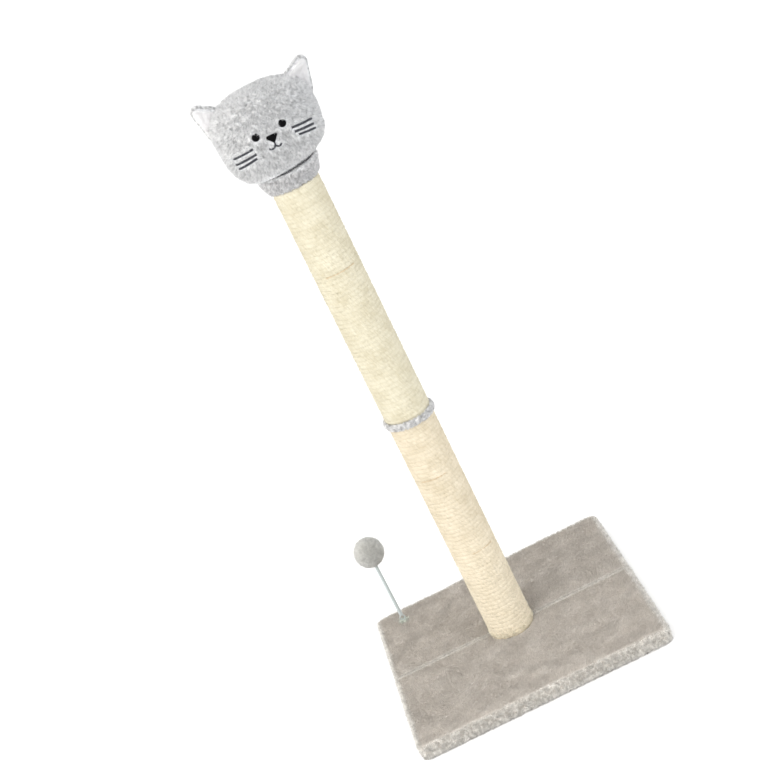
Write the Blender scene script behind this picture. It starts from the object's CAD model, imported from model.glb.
"""A plush-topped cat scratching post, dressed in fur, rope and stitching on a pale studio floor.

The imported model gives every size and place. Each soft piece is built anew over the solid that it
stands for, in metres and in the model's own frame: +Z is up, +X is to the viewer's right and the
cat looks along -Y.
"""

from __future__ import annotations

import logging
import math
from collections.abc import Callable, Sequence
from dataclasses import dataclass, replace
from enum import Enum
from typing import Any

import bpy
import numpy as np
from bpy.types import Material, Node, NodeSocket, NodeTree, Object
from mathutils import Euler, Matrix, Vector, noise

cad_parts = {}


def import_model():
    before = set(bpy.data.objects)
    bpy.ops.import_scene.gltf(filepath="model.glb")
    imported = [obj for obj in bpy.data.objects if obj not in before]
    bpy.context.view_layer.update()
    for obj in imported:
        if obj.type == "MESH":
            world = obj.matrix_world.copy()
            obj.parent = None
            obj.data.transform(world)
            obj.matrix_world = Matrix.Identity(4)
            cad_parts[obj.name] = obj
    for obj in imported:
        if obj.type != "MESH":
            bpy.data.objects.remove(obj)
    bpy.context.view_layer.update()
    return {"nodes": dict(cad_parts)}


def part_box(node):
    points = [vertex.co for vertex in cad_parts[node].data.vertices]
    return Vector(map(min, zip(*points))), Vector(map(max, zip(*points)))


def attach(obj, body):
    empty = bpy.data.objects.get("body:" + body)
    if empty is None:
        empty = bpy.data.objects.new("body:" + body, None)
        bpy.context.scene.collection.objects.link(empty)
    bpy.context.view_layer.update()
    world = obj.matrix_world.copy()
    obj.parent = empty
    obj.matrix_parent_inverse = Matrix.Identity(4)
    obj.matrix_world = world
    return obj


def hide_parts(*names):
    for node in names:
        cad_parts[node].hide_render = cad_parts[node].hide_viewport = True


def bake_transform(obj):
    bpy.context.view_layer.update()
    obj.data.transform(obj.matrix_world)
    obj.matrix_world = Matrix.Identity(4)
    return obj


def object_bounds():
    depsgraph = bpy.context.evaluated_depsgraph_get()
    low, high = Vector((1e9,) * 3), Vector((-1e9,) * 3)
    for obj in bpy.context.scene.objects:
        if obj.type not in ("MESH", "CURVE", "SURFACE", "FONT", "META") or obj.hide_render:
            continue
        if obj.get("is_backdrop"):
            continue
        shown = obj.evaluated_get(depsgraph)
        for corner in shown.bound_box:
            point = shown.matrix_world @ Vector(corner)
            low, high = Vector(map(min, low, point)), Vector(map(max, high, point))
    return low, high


LOG = logging.getLogger("scratching_post")
MM = 0.001
SAME_PLACE = 1e-7
LEVEL_SLACK = 1e-6
LEAST = 1e-12
Array = np.ndarray
Span = tuple[float, float]
Triple = tuple[float, float, float]
Colour = Triple


class Body(str, Enum):
    """The model's bodies."""

    STAND = "stand"
    SPRING = "spring"
    BALL = "ball"


class Slot(str, Enum):
    """The record's material slots that the new pieces take their finish from."""

    BASE_PLUSH = "base_plush"
    HEAD_PLUSH = "head_plush"
    COLLAR_PLUSH = "collar_plush"
    EAR_LINING = "ear_lining"
    SISAL = "sisal"
    BLACK_PLASTIC = "black_plastic"
    SPRING_WIRE = "spring_wire"
    POMPOM = "pompom"


# ---------- Node trees ----------
class Value:
    """A number in a node tree, which takes part in Python's arithmetic."""

    def __init__(self, graph: Graph, socket: NodeSocket) -> None:
        """Keeps the graph and the socket that gives the number."""
        self.graph = graph
        self.socket = socket

    def __add__(self, other: Operand) -> Value:
        """Returns this number plus another."""
        return self.graph.maths("ADD", self, other)

    def __radd__(self, other: Operand) -> Value:
        """Returns another number plus this one."""
        return self.graph.maths("ADD", other, self)

    def __sub__(self, other: Operand) -> Value:
        """Returns this number less another."""
        return self.graph.maths("SUBTRACT", self, other)

    def __rsub__(self, other: Operand) -> Value:
        """Returns another number less this one."""
        return self.graph.maths("SUBTRACT", other, self)

    def __mul__(self, other: Operand) -> Value:
        """Returns this number times another."""
        return self.graph.maths("MULTIPLY", self, other)

    def __rmul__(self, other: Operand) -> Value:
        """Returns another number times this one."""
        return self.graph.maths("MULTIPLY", other, self)

    def __truediv__(self, other: Operand) -> Value:
        """Returns this number over another."""
        return self.graph.maths("DIVIDE", self, other)

    def __rtruediv__(self, other: Operand) -> Value:
        """Returns another number over this one."""
        return self.graph.maths("DIVIDE", other, self)

    def __abs__(self) -> Value:
        """Returns the number without its sign."""
        return self.graph.maths("ABSOLUTE", self)

    def __floor__(self) -> Value:
        """Returns the whole number below."""
        return self.graph.maths("FLOOR", self)

    def cosine(self) -> Value:
        """Returns the cosine of an angle in radians."""
        return self.graph.maths("COSINE", self)

    def mapped(self, start: Span, end: Span) -> Value:
        """Carries the number from one range to another, and holds it there at the ends.

        Args:
            start: The range's low and high end.
            end: What the two ends turn into.

        Returns:
            The new number.
        """
        limits = {"From Min": start[0], "From Max": start[1], "To Min": end[0], "To Max": end[1]}
        limits["Value"] = self
        return self.graph.number("ShaderNodeMapRange", "Result", {"data_type": "FLOAT"}, limits)

    def within(self, low: float, high: float) -> Value:
        """Returns the number, kept between two limits."""
        return self.mapped((low, high), (low, high))

    def ramp(self, low: float, high: float) -> Value:
        """Returns 0 below one value and 1 above another, with a straight line between them."""
        return self.mapped((low, high), (0.0, 1.0))

Operand = Value | NodeSocket | float


class Graph:
    """A node tree that is built by naming a node's type, its settings and its inputs."""

    def __init__(self, tree: NodeTree) -> None:
        """Keeps the tree that the nodes go into."""
        self.tree = tree

    def feed(self, socket: NodeSocket, operand: Any) -> None:
        """Links a value to an input, or sets the input to a constant.

        Args:
            socket: The input.
            operand: A value, a socket or a constant.
        """
        if isinstance(operand, Value):
            self.tree.links.new(operand.socket, socket)
        elif isinstance(operand, NodeSocket):
            self.tree.links.new(operand, socket)
        else:
            socket.default_value = operand

    def add(
        self,
        kind: str,
        settings: dict[str, Any] | None = None,
        inputs: dict[str, Any] | None = None,
    ) -> Node:
        """Adds a node.

        Args:
            kind: The node's type.
            settings: The node's own properties, which are set before its inputs.
            inputs: Constants, sockets or values by the input's identifier.

        Returns:
            The new node.
        """
        node = self.tree.nodes.new(kind)
        for name, value in (settings or {}).items():
            setattr(node, name, value)
        sockets = {socket.identifier: socket for socket in node.inputs}
        for name, operand in (inputs or {}).items():
            self.feed(sockets[name], operand)
        return node

    def number(
        self,
        kind: str,
        output: str,
        settings: dict[str, Any] | None = None,
        inputs: dict[str, Any] | None = None,
    ) -> Value:
        """Adds a node whose output is a number.

        Args:
            kind: The node's type.
            output: The output's identifier.
            settings: The node's own properties.
            inputs: Constants, sockets or values by the input's identifier.

        Returns:
            The output as a number.
        """
        node = self.add(kind, settings, inputs)
        found = next(socket for socket in node.outputs if socket.identifier == output)
        return Value(self, found)

    def maths(self, operation: str, *operands: Operand) -> Value:
        """Adds a Math node.

        Args:
            operation: What it does.
            operands: Its one or two numbers.

        Returns:
            The result.
        """
        node = self.add("ShaderNodeMath", {"operation": operation})
        for socket, operand in zip(node.inputs, operands):
            self.feed(socket, operand)
        return Value(self, node.outputs[0])

    def vector(self, operation: str, *operands: Any, scale: Operand | None = None) -> NodeSocket:
        """Adds a Vector Math node.

        Args:
            operation: What it does.
            operands: Its one or two vectors.
            scale: The number that SCALE multiplies by.

        Returns:
            The resulting vector.
        """
        node = self.add("ShaderNodeVectorMath", {"operation": operation})
        for socket, operand in zip(node.inputs, operands):
            self.feed(socket, operand)
        if scale is not None:
            self.feed(node.inputs["Scale"], scale)
        return node.outputs["Vector"]

    def mix(self, factor: Operand, first: Any, second: Any) -> NodeSocket:
        """Adds a Mix node between two colours.

        Args:
            factor: 0 for the first colour and 1 for the second.
            first: A colour.
            second: Another colour.

        Returns:
            The mixed colour.
        """
        inputs = {"Factor_Float": factor, "A_Color": first, "B_Color": second}
        node = self.add("ShaderNodeMix", {"data_type": "RGBA"}, inputs)
        return next(socket for socket in node.outputs if socket.identifier == "Result_Color")

    def noise(self, vector: NodeSocket, scale: Operand, detail: float = 2.0) -> Value:
        """Adds a Noise Texture and returns its 0 to 1 value."""
        inputs = {"Vector": vector, "Scale": scale, "Detail": detail}
        return Value(self, self.add("ShaderNodeTexNoise", None, inputs).outputs["Fac"])

    def bump(self, shader: Node, height: Value, strength: float, distance: float) -> None:
        """Adds a Bump node before a shader's normal.

        Args:
            shader: The shader.
            height: The relief, from 0 to 1.
            strength: How strongly it shows.
            distance: How far 1 stands above 0, in metres.
        """
        inputs = {"Height": height, "Strength": strength, "Distance": distance}
        self.feed(shader.inputs["Normal"], self.add("ShaderNodeBump", None, inputs).outputs["Normal"])


# ---------- Finishes ----------
FIBRE_TONES = 4
FIBRE_ROUGHNESS = 0.95
FIBRE_SPECULAR = 0.15


def linear_channel(value: float) -> float:
    """Turns one sRGB number of 0 to 255 into a linear one of 0 to 1, by the standard's curve."""
    share = value / 255
    return share / 12.92 if share <= 0.04045 else ((share + 0.055) / 1.055) ** 2.4


def linear(colour: Colour) -> tuple[float, float, float, float]:
    """Turns a colour of 0 to 255 sRGB numbers into the linear RGBA that a shader takes."""
    red, green, blue = (linear_channel(value) for value in colour)
    return (red, green, blue, 1.0)


@dataclass(frozen=True)
class Finish:
    """A surface of one colour."""

    name: str
    colour: Colour
    roughness: float = 0.9
    metallic: float = 0.0
    specular: float = 0.3

    def shade(self, graph: Graph, shader: Node) -> None:
        """Adds what varies over the surface. A plain finish varies nowhere."""

    def material(self) -> Material:
        """Makes the material the first time that it is asked for, and finds it after that.

        Returns:
            The material.
        """
        found = bpy.data.materials.get(self.name)
        if found is not None:
            return found
        made = bpy.data.materials.new(self.name)
        made.use_nodes = True
        made.diffuse_color = linear(self.colour)
        shader = made.node_tree.nodes["Principled BSDF"]
        constants = {
            "Base Color": linear(self.colour),
            "Roughness": self.roughness,
            "Metallic": self.metallic,
            "Specular IOR Level": self.specular,
        }
        for name, value in constants.items():
            shader.inputs[name].default_value = value
        self.shade(Graph(made.node_tree), shader)
        return made


@dataclass(frozen=True)
class Mottled(Finish):
    """A surface whose colour wanders between two tones, with a fine bump.

    Sizes are in metres. The grain is the bump's own size, and stretch draws both out along an axis.
    The tones' share is how much the patches count against the grain, and its ends are where the
    noise is all of one tone.
    """

    second: Colour = (255.0, 255.0, 255.0)
    patch: float = 0.02
    grain: float = 0.002
    bump: float = 0.3
    relief: float = 0.0006
    stretch: Triple = (1.0, 1.0, 1.0)
    detail: float = 3.0
    patch_share: float = 0.6
    ends: Span = (0.36, 0.64)

    def shade(self, graph: Graph, shader: Node) -> None:
        """Adds the two tones and the bump.

        Args:
            graph: The material's nodes.
            shader: The shader that they feed.
        """
        place = graph.add("ShaderNodeTexCoord").outputs["Object"]
        drawn = graph.vector("DIVIDE", place, self.stretch)
        patches = graph.noise(drawn, 1 / self.patch, self.detail)
        grain = graph.noise(drawn, 1 / self.grain, self.detail)
        share = (patches * self.patch_share + grain * (1 - self.patch_share)).ramp(*self.ends)
        graph.feed(shader.inputs["Base Color"], graph.mix(share, linear(self.colour), linear(self.second)))
        graph.bump(shader, grain, self.bump, self.relief)


@dataclass(frozen=True)
class Sisal(Finish):
    """Twisted plant fibre, streaked along each strand by the rope's own attributes.

    The streaks are drawn out along the strand. A broader drift of tone follows the post, and the
    rope pales near the floor, between two levels in metres.
    """

    second: Colour = (255.0, 255.0, 255.0)
    paled: Colour = (255.0, 243.0, 219.0)
    streaks_along: float = 90.0
    streaks_across: float = 3.2
    streak_scale: float = 1.6
    streak_share: float = 0.7
    drift_scale: float = 45.0
    ends: Span = (0.36, 0.62)
    paled_levels: Span = (0.02, 0.2)
    paled_most: float = 0.5
    bump: float = 0.5
    relief: float = 0.0004

    def shade(self, graph: Graph, shader: Node) -> None:
        """Adds the streaks, the tone that drifts along the rope and pales near the floor, and their bump.

        Args:
            graph: The material's nodes.
            shader: The shader that they feed.
        """
        along = graph.number("ShaderNodeAttribute", "Fac", {"attribute_name": "along"})
        across = graph.add("ShaderNodeAttribute", {"attribute_name": "across"}).outputs["Vector"]
        drawn = graph.add("ShaderNodeCombineXYZ", None, {"Z": along * self.streaks_along}).outputs[0]
        place = graph.vector("ADD", graph.vector("SCALE", across, scale=self.streaks_across), drawn)
        streaks = graph.noise(place, self.streak_scale, 3.0)
        on_post = graph.add("ShaderNodeTexCoord").outputs["Object"]
        drift = graph.noise(on_post, self.drift_scale)
        share = (streaks * self.streak_share + drift * (1 - self.streak_share)).ramp(*self.ends)
        tone = graph.mix(share, linear(self.colour), linear(self.second))
        height = graph.number("ShaderNodeSeparateXYZ", "Z", None, {"Vector": on_post})
        near_floor = (1.0 - height.ramp(*self.paled_levels)) * self.paled_most
        graph.feed(shader.inputs["Base Color"], graph.mix(near_floor, tone, linear(self.paled)))
        graph.bump(shader, streaks, self.bump, self.relief)


def tones(name: str, colour: Colour, spread: float) -> tuple[Finish, ...]:
    """Makes a few even tones of one colour for the fibres of a coat.

    Args:
        name: The start of each tone's name.
        colour: The middle tone.
        spread: How far the darkest and the lightest lie from it, of 255.

    Returns:
        The finishes, dark to light.
    """
    shifts = [spread * (2 * i / (FIBRE_TONES - 1) - 1) for i in range(FIBRE_TONES)]
    shades = [tuple(min(max(c + shift, 0.0), 255.0) for c in colour) for shift in shifts]
    look = {"roughness": FIBRE_ROUGHNESS, "specular": FIBRE_SPECULAR}
    return tuple(Finish(f"{name}_{i}", shade, **look) for i, shade in enumerate(shades))


# ---------- Meshes ----------
def link(obj: Object) -> Object:
    """Adds an object to the scene."""
    bpy.context.scene.collection.objects.link(obj)
    return obj


def mesh_object(name: str, points: Array, faces: Sequence[Sequence[int]], finish: Finish) -> Object:
    """Makes a smooth-shaded mesh whose object sits at the origin.

    Args:
        name: The piece's name.
        points: One row of x, y, z for each vertex, in metres.
        faces: The vertices of each face, anticlockwise from outside.
        finish: The surface.

    Returns:
        The new object, linked to the scene.
    """
    mesh = bpy.data.meshes.new(name)
    mesh.from_pydata(points.tolist(), [], [list(face) for face in faces])
    mesh.materials.append(finish.material())
    mesh.shade_smooth()
    mesh.validate()
    return link(bpy.data.objects.new(name, mesh))


def positions(obj: Object) -> Array:
    """Returns an object's vertices as rows of x, y, z."""
    values = np.zeros(3 * len(obj.data.vertices), np.float32)
    obj.data.vertices.foreach_get("co", values)
    return values.reshape(-1, 3).astype(float)


def normals(obj: Object) -> Array:
    """Returns an object's vertex normals as rows of x, y, z."""
    values = np.zeros(3 * len(obj.data.vertices), np.float32)
    obj.data.vertex_normals.foreach_get("vector", values)
    return values.reshape(-1, 3).astype(float)


def move(obj: Object, points: Array) -> None:
    """Gives an object's vertices new places."""
    obj.data.vertices.foreach_set("co", points.astype(np.float32).ravel())
    obj.data.update()


def swell(obj: Object, heights: Array) -> None:
    """Moves each vertex outwards along its normal by its own height."""
    move(obj, positions(obj) + normals(obj) * heights[:, None])


def mark(obj: Object, name: str, values: Array) -> None:
    """Writes one number for each vertex as a named attribute."""
    attribute = obj.data.attributes.get(name) or obj.data.attributes.new(name, "FLOAT", "POINT")
    attribute.data.foreach_set("value", values.astype(np.float32))


def marked(obj: Object, name: str) -> Array:
    """Returns a named attribute's number for each vertex."""
    values = np.zeros(len(obj.data.vertices), np.float32)
    obj.data.attributes[name].data.foreach_get("value", values)
    return values


def lumps(points: Array, size: float, seed: float) -> Array:
    """Returns smooth noise of about -1 to 1 whose lumps have a given size."""
    shift = Vector((seed * 7.31, seed * 3.17, seed * 5.93))
    return np.array([noise.noise(Vector(point) / size + shift) for point in points])


@dataclass(frozen=True)
class Lumps:
    """One layer of smooth unevenness, in metres."""

    size: float
    height: float
    seed: float

    def over(self, points: Array) -> Array:
        """Returns how far the layer stands out at each point."""
        return lumps(points, self.size, self.seed) * self.height


def smooth_step(values: Array, start: float, end: float) -> Array:
    """Returns 0 before start and 1 after end, with a smooth rise between them."""
    share = np.clip((values - start) / (end - start), 0.0, 1.0)
    return share * share * (3 - 2 * share)


def swelling(values: Array, middle: float, width: float) -> Array:
    """Returns 1 at a middle, falling away smoothly to both sides over a width."""
    return np.exp(-(((values - middle) / width) ** 2))


def level_ring(xs: Array, ys: Array, level: float) -> Array:
    """Returns rows of x, y, z for points at one level."""
    return np.stack([xs, ys, np.full(len(xs), level)], axis=1)


def loft_faces(rings: int, columns: int) -> list[tuple[int, ...]]:
    """Returns the faces of a closed skin through rings and two poles, which come last.

    Args:
        rings: The number of rings.
        columns: The number of points in a ring.

    Returns:
        Each face's vertices.
    """
    faces: list[tuple[int, ...]] = []
    first_pole, last_pole = rings * columns, rings * columns + 1
    top = (rings - 1) * columns
    for side in range(columns):
        following = (side + 1) % columns
        for level in range(0, top, columns):
            above = level + columns
            faces.append((level + side, level + following, above + following, above + side))
        faces.append((first_pole, following, side))
        faces.append((last_pole, top + side, top + following))
    return faces


def loft(name: str, rings: Array, finish: Finish) -> Object:
    """Makes a closed skin through rings of points that run anticlockwise, first ring below.

    Args:
        name: The piece's name.
        rings: An array of rings, each of points, each of x, y, z.
        finish: The surface.

    Returns:
        The new object, with a pole in the middle of its first and its last ring.
    """
    count, columns, _ = rings.shape
    poles = np.array([rings[0].mean(axis=0), rings[-1].mean(axis=0)])
    points = np.vstack([rings.reshape(-1, 3), poles])
    return mesh_object(name, points, loft_faces(count, columns), finish)


def polar(columns: int) -> Array:
    """Returns evenly spaced angles round a circle."""
    return np.arange(columns) * 2 * math.pi / columns


def signed_power(values: Array, power: float) -> Array:
    """Raises the size of each value to a power and keeps its sign."""
    return np.sign(values) * np.abs(values) ** power


def revolve(name: str, profile: Sequence[Span], columns: int, finish: Finish) -> Object:
    """Makes a closed ring of revolution about Z.

    Args:
        name: The piece's name.
        profile: The closed section's radii and levels.
        columns: The number of points round it.
        finish: The surface.

    Returns:
        The new object.
    """
    angles = polar(columns)
    points = np.vstack([level_ring(r * np.cos(angles), r * np.sin(angles), z) for r, z in profile])
    count = len(profile)
    faces = []
    for level in range(count):
        above = (level + 1) % count
        for side in range(columns):
            following = (side + 1) % columns
            corners = (level * columns + side, level * columns + following)
            faces.append((*corners, above * columns + following, above * columns + side))
    return mesh_object(name, points, faces, finish)


def spaced(path: Array, spacing: float, closed: bool) -> Array:
    """Returns evenly spaced points along a path of two coordinates, without its end if it is closed."""
    reach = np.concatenate([[0.0], np.cumsum(np.linalg.norm(np.diff(path, axis=0), axis=1))])
    wanted = np.linspace(0, reach[-1], round(reach[-1] / spacing), endpoint=not closed)
    return np.stack([np.interp(wanted, reach, path[:, axis]) for axis in (0, 1)], axis=1)


def rounded_outline(corners: Sequence[Span], radius: float, spacing: float) -> Array:
    """Returns evenly spaced points along an anticlockwise outline whose corners are arcs.

    Args:
        corners: The sharp outline's corners.
        radius: The radius of every arc.
        spacing: The distance between points.

    Returns:
        Rows of two coordinates.
    """
    count = len(corners)
    found: list[Array] = []
    for i, corner in enumerate(corners):
        here = np.array(corner)
        arriving = here - np.array(corners[i - 1])
        leaving = np.array(corners[(i + 1) % count]) - here
        start = math.atan2(arriving[1], arriving[0])
        turn = (math.atan2(leaving[1], leaving[0]) - start) % (2 * math.pi)
        inward = start + turn / 2 + math.pi / 2
        centre = here + radius / math.cos(turn / 2) * np.array([math.cos(inward), math.sin(inward)])
        steps = max(3, round(radius * turn / spacing))
        angles = start - math.pi / 2 + np.linspace(0, turn, steps + 1)
        found.append(centre + radius * np.stack([np.cos(angles), np.sin(angles)], axis=1))
    path = np.vstack([*found, found[0][:1]])
    return spaced(path, spacing, closed=True)


def drawn_in(corners: Sequence[Span], margins: Sequence[float]) -> list[Span]:
    """Moves each side of an anticlockwise outline inwards by its own margin.

    Args:
        corners: The outline's corners.
        margins: A margin for the side that starts at each corner.

    Returns:
        The new corners.
    """
    count = len(corners)
    sides = []
    for i, margin in enumerate(margins):
        start, end = np.array(corners[i]), np.array(corners[(i + 1) % count])
        along = (end - start) / np.linalg.norm(end - start)
        sides.append((start + margin * np.array([-along[1], along[0]]), along))
    found = []
    for i in range(count):
        (first, before), (second, after) = sides[i - 1], sides[i]
        reach = np.linalg.solve(np.stack([before, -after], axis=1), second - first)
        found.append(tuple(first + before * reach[0]))
    return found


PILLOW_RINGS = 15
PILLOW_EDGE = 0.62
PILLOW_FACE = 0.9


def pillow(name: str, outline: Array, thickness: float, middle: float, finish: Finish) -> Object:
    """Makes a stuffed piece with an outline seen from the front and rounded faces.

    Args:
        name: The piece's name.
        outline: Rows of x and z, anticlockwise from the front.
        thickness: The most that it measures from front to back.
        middle: Where its middle plane lies along Y.
        finish: The surface.

    Returns:
        The new object.
    """
    centre = outline.mean(axis=0)
    rings = []
    for turn in np.linspace(0, math.pi, PILLOW_RINGS)[1:-1]:
        share = math.sin(turn) ** PILLOW_EDGE
        side = signed_power(np.array([math.cos(turn)]), PILLOW_FACE)[0]
        flat = centre + (outline - centre) * share
        level = np.full(len(outline), middle + side * thickness / 2)
        rings.append(np.stack([flat[:, 0], level, flat[:, 1]], axis=1))
    return loft(name, np.array(rings), finish)


# ---------- Repeats ----------
class Repeat:
    """A Geometry Nodes tree with named inputs, whose result becomes a mesh of its own."""

    name = "repeat"
    sockets: dict[str, str] = {}

    def __init__(self) -> None:
        """Makes the tree with its sockets and builds what lies between them."""
        self.tree = bpy.data.node_groups.new(self.name, "GeometryNodeTree")
        interface = self.tree.interface
        interface.new_socket("Geometry", in_out="INPUT", socket_type="NodeSocketGeometry")
        for name, kind in self.sockets.items():
            interface.new_socket(name, in_out="INPUT", socket_type=f"NodeSocket{kind}")
        interface.new_socket("Geometry", in_out="OUTPUT", socket_type="NodeSocketGeometry")
        self.graph = Graph(self.tree)
        self.given = self.tree.nodes.new("NodeGroupInput").outputs
        result = self.build()
        output = self.tree.nodes.new("NodeGroupOutput")
        self.tree.links.new(result, output.inputs[0])

    def build(self) -> NodeSocket:
        """Adds the tree's nodes and returns the geometry that they end in."""
        raise NotImplementedError

    def value(self, name: str) -> Value:
        """Returns one of the tree's inputs as a number."""
        return Value(self.graph, self.given[name])

    def attribute(self, name: str, kind: str = "FLOAT") -> NodeSocket:
        """Returns a named attribute of the points that the tree works on."""
        node = self.graph.add("GeometryNodeInputNamedAttribute", {"data_type": kind}, {"Name": name})
        return node.outputs["Attribute"]

    def stored(self, geometry: NodeSocket, name: str, value: Operand, kind: str = "FLOAT") -> NodeSocket:
        """Writes a named attribute on each point of a geometry and returns the geometry."""
        inputs = {"Geometry": geometry, "Name": name, "Value": value}
        return self.graph.add("GeometryNodeStoreNamedAttribute", {"data_type": kind}, inputs).outputs[0]

    def realized(self, geometry: NodeSocket) -> NodeSocket:
        """Turns instances into a mesh of their own and shades it smooth."""
        geometry = self.graph.add("GeometryNodeRealizeInstances", None, {"Geometry": geometry}).outputs[0]
        return self.graph.add("GeometryNodeSetShadeSmooth", None, {"Geometry": geometry}).outputs[0]

    def finished(self, geometry: NodeSocket) -> NodeSocket:
        """Turns instances into a smooth mesh with the tree's material."""
        dressed = {"Geometry": self.realized(geometry), "Material": self.given["Material"]}
        return self.graph.add("GeometryNodeSetMaterial", None, dressed).outputs[0]

    def bake(self, name: str, host: Object, inputs: dict[str, Any]) -> Object:
        """Runs the tree over a host and returns the result as a new object.

        Args:
            name: The new piece's name.
            host: The object whose mesh the tree starts from, which stays as it is.
            inputs: The tree's inputs by name.

        Returns:
            The new object, linked to the scene.
        """
        modifier = host.modifiers.new(self.name, "NODES")
        modifier.node_group = self.tree
        identifiers = {
            item.name: item.identifier
            for item in self.tree.interface.items_tree
            if item.item_type == "SOCKET" and item.in_out == "INPUT"
        }
        for socket, value in inputs.items():
            modifier[identifiers[socket]] = value
        host.update_tag()
        depsgraph = bpy.context.evaluated_depsgraph_get()
        mesh = bpy.data.meshes.new_from_object(host.evaluated_get(depsgraph), depsgraph=depsgraph)
        host.modifiers.remove(modifier)
        mesh.name = name
        return link(bpy.data.objects.new(name, mesh))


class FibreTree(Repeat):
    """Scatters tapering fibres over a skin, as thickly as its fur attribute says.

    A fibre stands along the skin's normal, leans the way that the coat is brushed, and gathers
    with its neighbours into clumps. Its tone follows a fine noise, a broad one and its own chance.
    """

    name = "fibres"
    CHANCE = 0.26
    BROAD_SCALE = 0.09
    FINE_ENDS = (0.34, 0.66)
    BROAD_ENDS = (0.36, 0.64)
    SIZES = (0.6, 1.15)
    sockets = {
        **dict.fromkeys(("Density", "Length", "Radius", "Clump Frequency", "Clump Strength"), "Float"),
        **dict.fromkeys(("Jitter", "Tone Frequency", "Broad"), "Float"),
        "Brush": "Vector",
        "Seed": "Int",
        **{f"Tone {i}": "Material" for i in range(FIBRE_TONES)},
    }

    def random(self, low: float, high: float, shift: int) -> Value:
        """Returns a number of its own for each fibre."""
        seed = self.graph.maths("ADD", self.given["Seed"], float(shift))
        inputs = {"Min_001": low, "Max_001": high, "Seed": seed}
        return self.graph.number("FunctionNodeRandomValue", "Value_001", {"data_type": "FLOAT"}, inputs)

    def direction(self, normal: NodeSocket, place: NodeSocket) -> NodeSocket:
        """Turns the skin's normal into the way that a fibre points.

        Args:
            normal: The skin's normal.
            place: Where the fibre stands.

        Returns:
            The direction, of any length.
        """
        graph = self.graph
        inputs = {"Vector": place, "Scale": self.given["Clump Frequency"], "Detail": 1.0}
        clumps = graph.add("ShaderNodeTexNoise", None, inputs).outputs["Color"]
        gather = graph.vector("SUBTRACT", clumps, (0.5, 0.5, 0.5))
        lean = graph.vector("SCALE", gather, scale=self.given["Clump Strength"])
        limits = {"Min": (-1.0, -1.0, -1.0), "Max": (1.0, 1.0, 1.0), "Seed": self.given["Seed"]}
        stray = graph.add("FunctionNodeRandomValue", {"data_type": "FLOAT_VECTOR"}, limits)
        strays = graph.vector("SCALE", stray.outputs["Value"], scale=self.given["Jitter"])
        brushed = graph.vector("ADD", normal, self.given["Brush"])
        return graph.vector("ADD", graph.vector("ADD", brushed, lean), strays)

    def tone(self, place: NodeSocket) -> Value:
        """Chooses a fibre's tone.

        Args:
            place: Where the fibre stands.

        Returns:
            The tone's number, from 0 for the darkest.
        """
        frequency, broad_share = self.value("Tone Frequency"), self.value("Broad")
        fine = self.graph.noise(place, frequency).ramp(*self.FINE_ENDS)
        broad = self.graph.noise(place, frequency * self.BROAD_SCALE).ramp(*self.BROAD_ENDS)
        own = self.random(0.0, self.CHANCE, 1)
        share = fine * (1.0 - self.CHANCE - broad_share) + broad * broad_share + own
        return math.floor(share * float(FIBRE_TONES)).within(0.0, FIBRE_TONES - 1.0)

    def build(self) -> NodeSocket:
        """Scatters the points, stands a fibre on each and gives each fibre its tone.

        Returns:
            The fibres.
        """
        graph, given = self.graph, self.given
        fur = Value(graph, self.attribute("fur"))
        density = self.value("Density") * fur
        spread = {"Mesh": given["Geometry"], "Density": density, "Seed": given["Seed"]}
        scatter = graph.add("GeometryNodeDistributePointsOnFaces", {"distribute_method": "RANDOM"}, spread)
        place = graph.add("GeometryNodeInputPosition").outputs[0]
        points = self.stored(scatter.outputs["Points"], "tone", self.tone(place))
        cone = {"Vertices": 3, "Radius Top": 0.0, "Radius Bottom": given["Radius"], "Depth": given["Length"]}
        fibre = graph.add("GeometryNodeMeshCone", {"fill_type": "NONE"}, cone).outputs["Mesh"]
        aim = {"Vector": self.direction(scatter.outputs["Normal"], place)}
        rotation = graph.add("FunctionNodeAlignRotationToVector", {"axis": "Z"}, aim).outputs[0]
        size = self.random(*self.SIZES, 2) * (fur * 0.5 + 0.5)
        stand = {"Points": points, "Instance": fibre, "Rotation": rotation, "Scale": size}
        geometry = self.realized(graph.add("GeometryNodeInstanceOnPoints", None, stand).outputs[0])
        number = self.attribute("tone")
        for i in range(FIBRE_TONES):
            compare = {"A": number, "B": float(i), "Epsilon": 0.5}
            matches = graph.add("FunctionNodeCompare", {"data_type": "FLOAT", "operation": "EQUAL"}, compare)
            wanted = {"Geometry": geometry, "Selection": matches.outputs[0], "Material": given[f"Tone {i}"]}
            geometry = graph.add("GeometryNodeSetMaterial", None, wanted).outputs[0]
        return geometry


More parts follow.
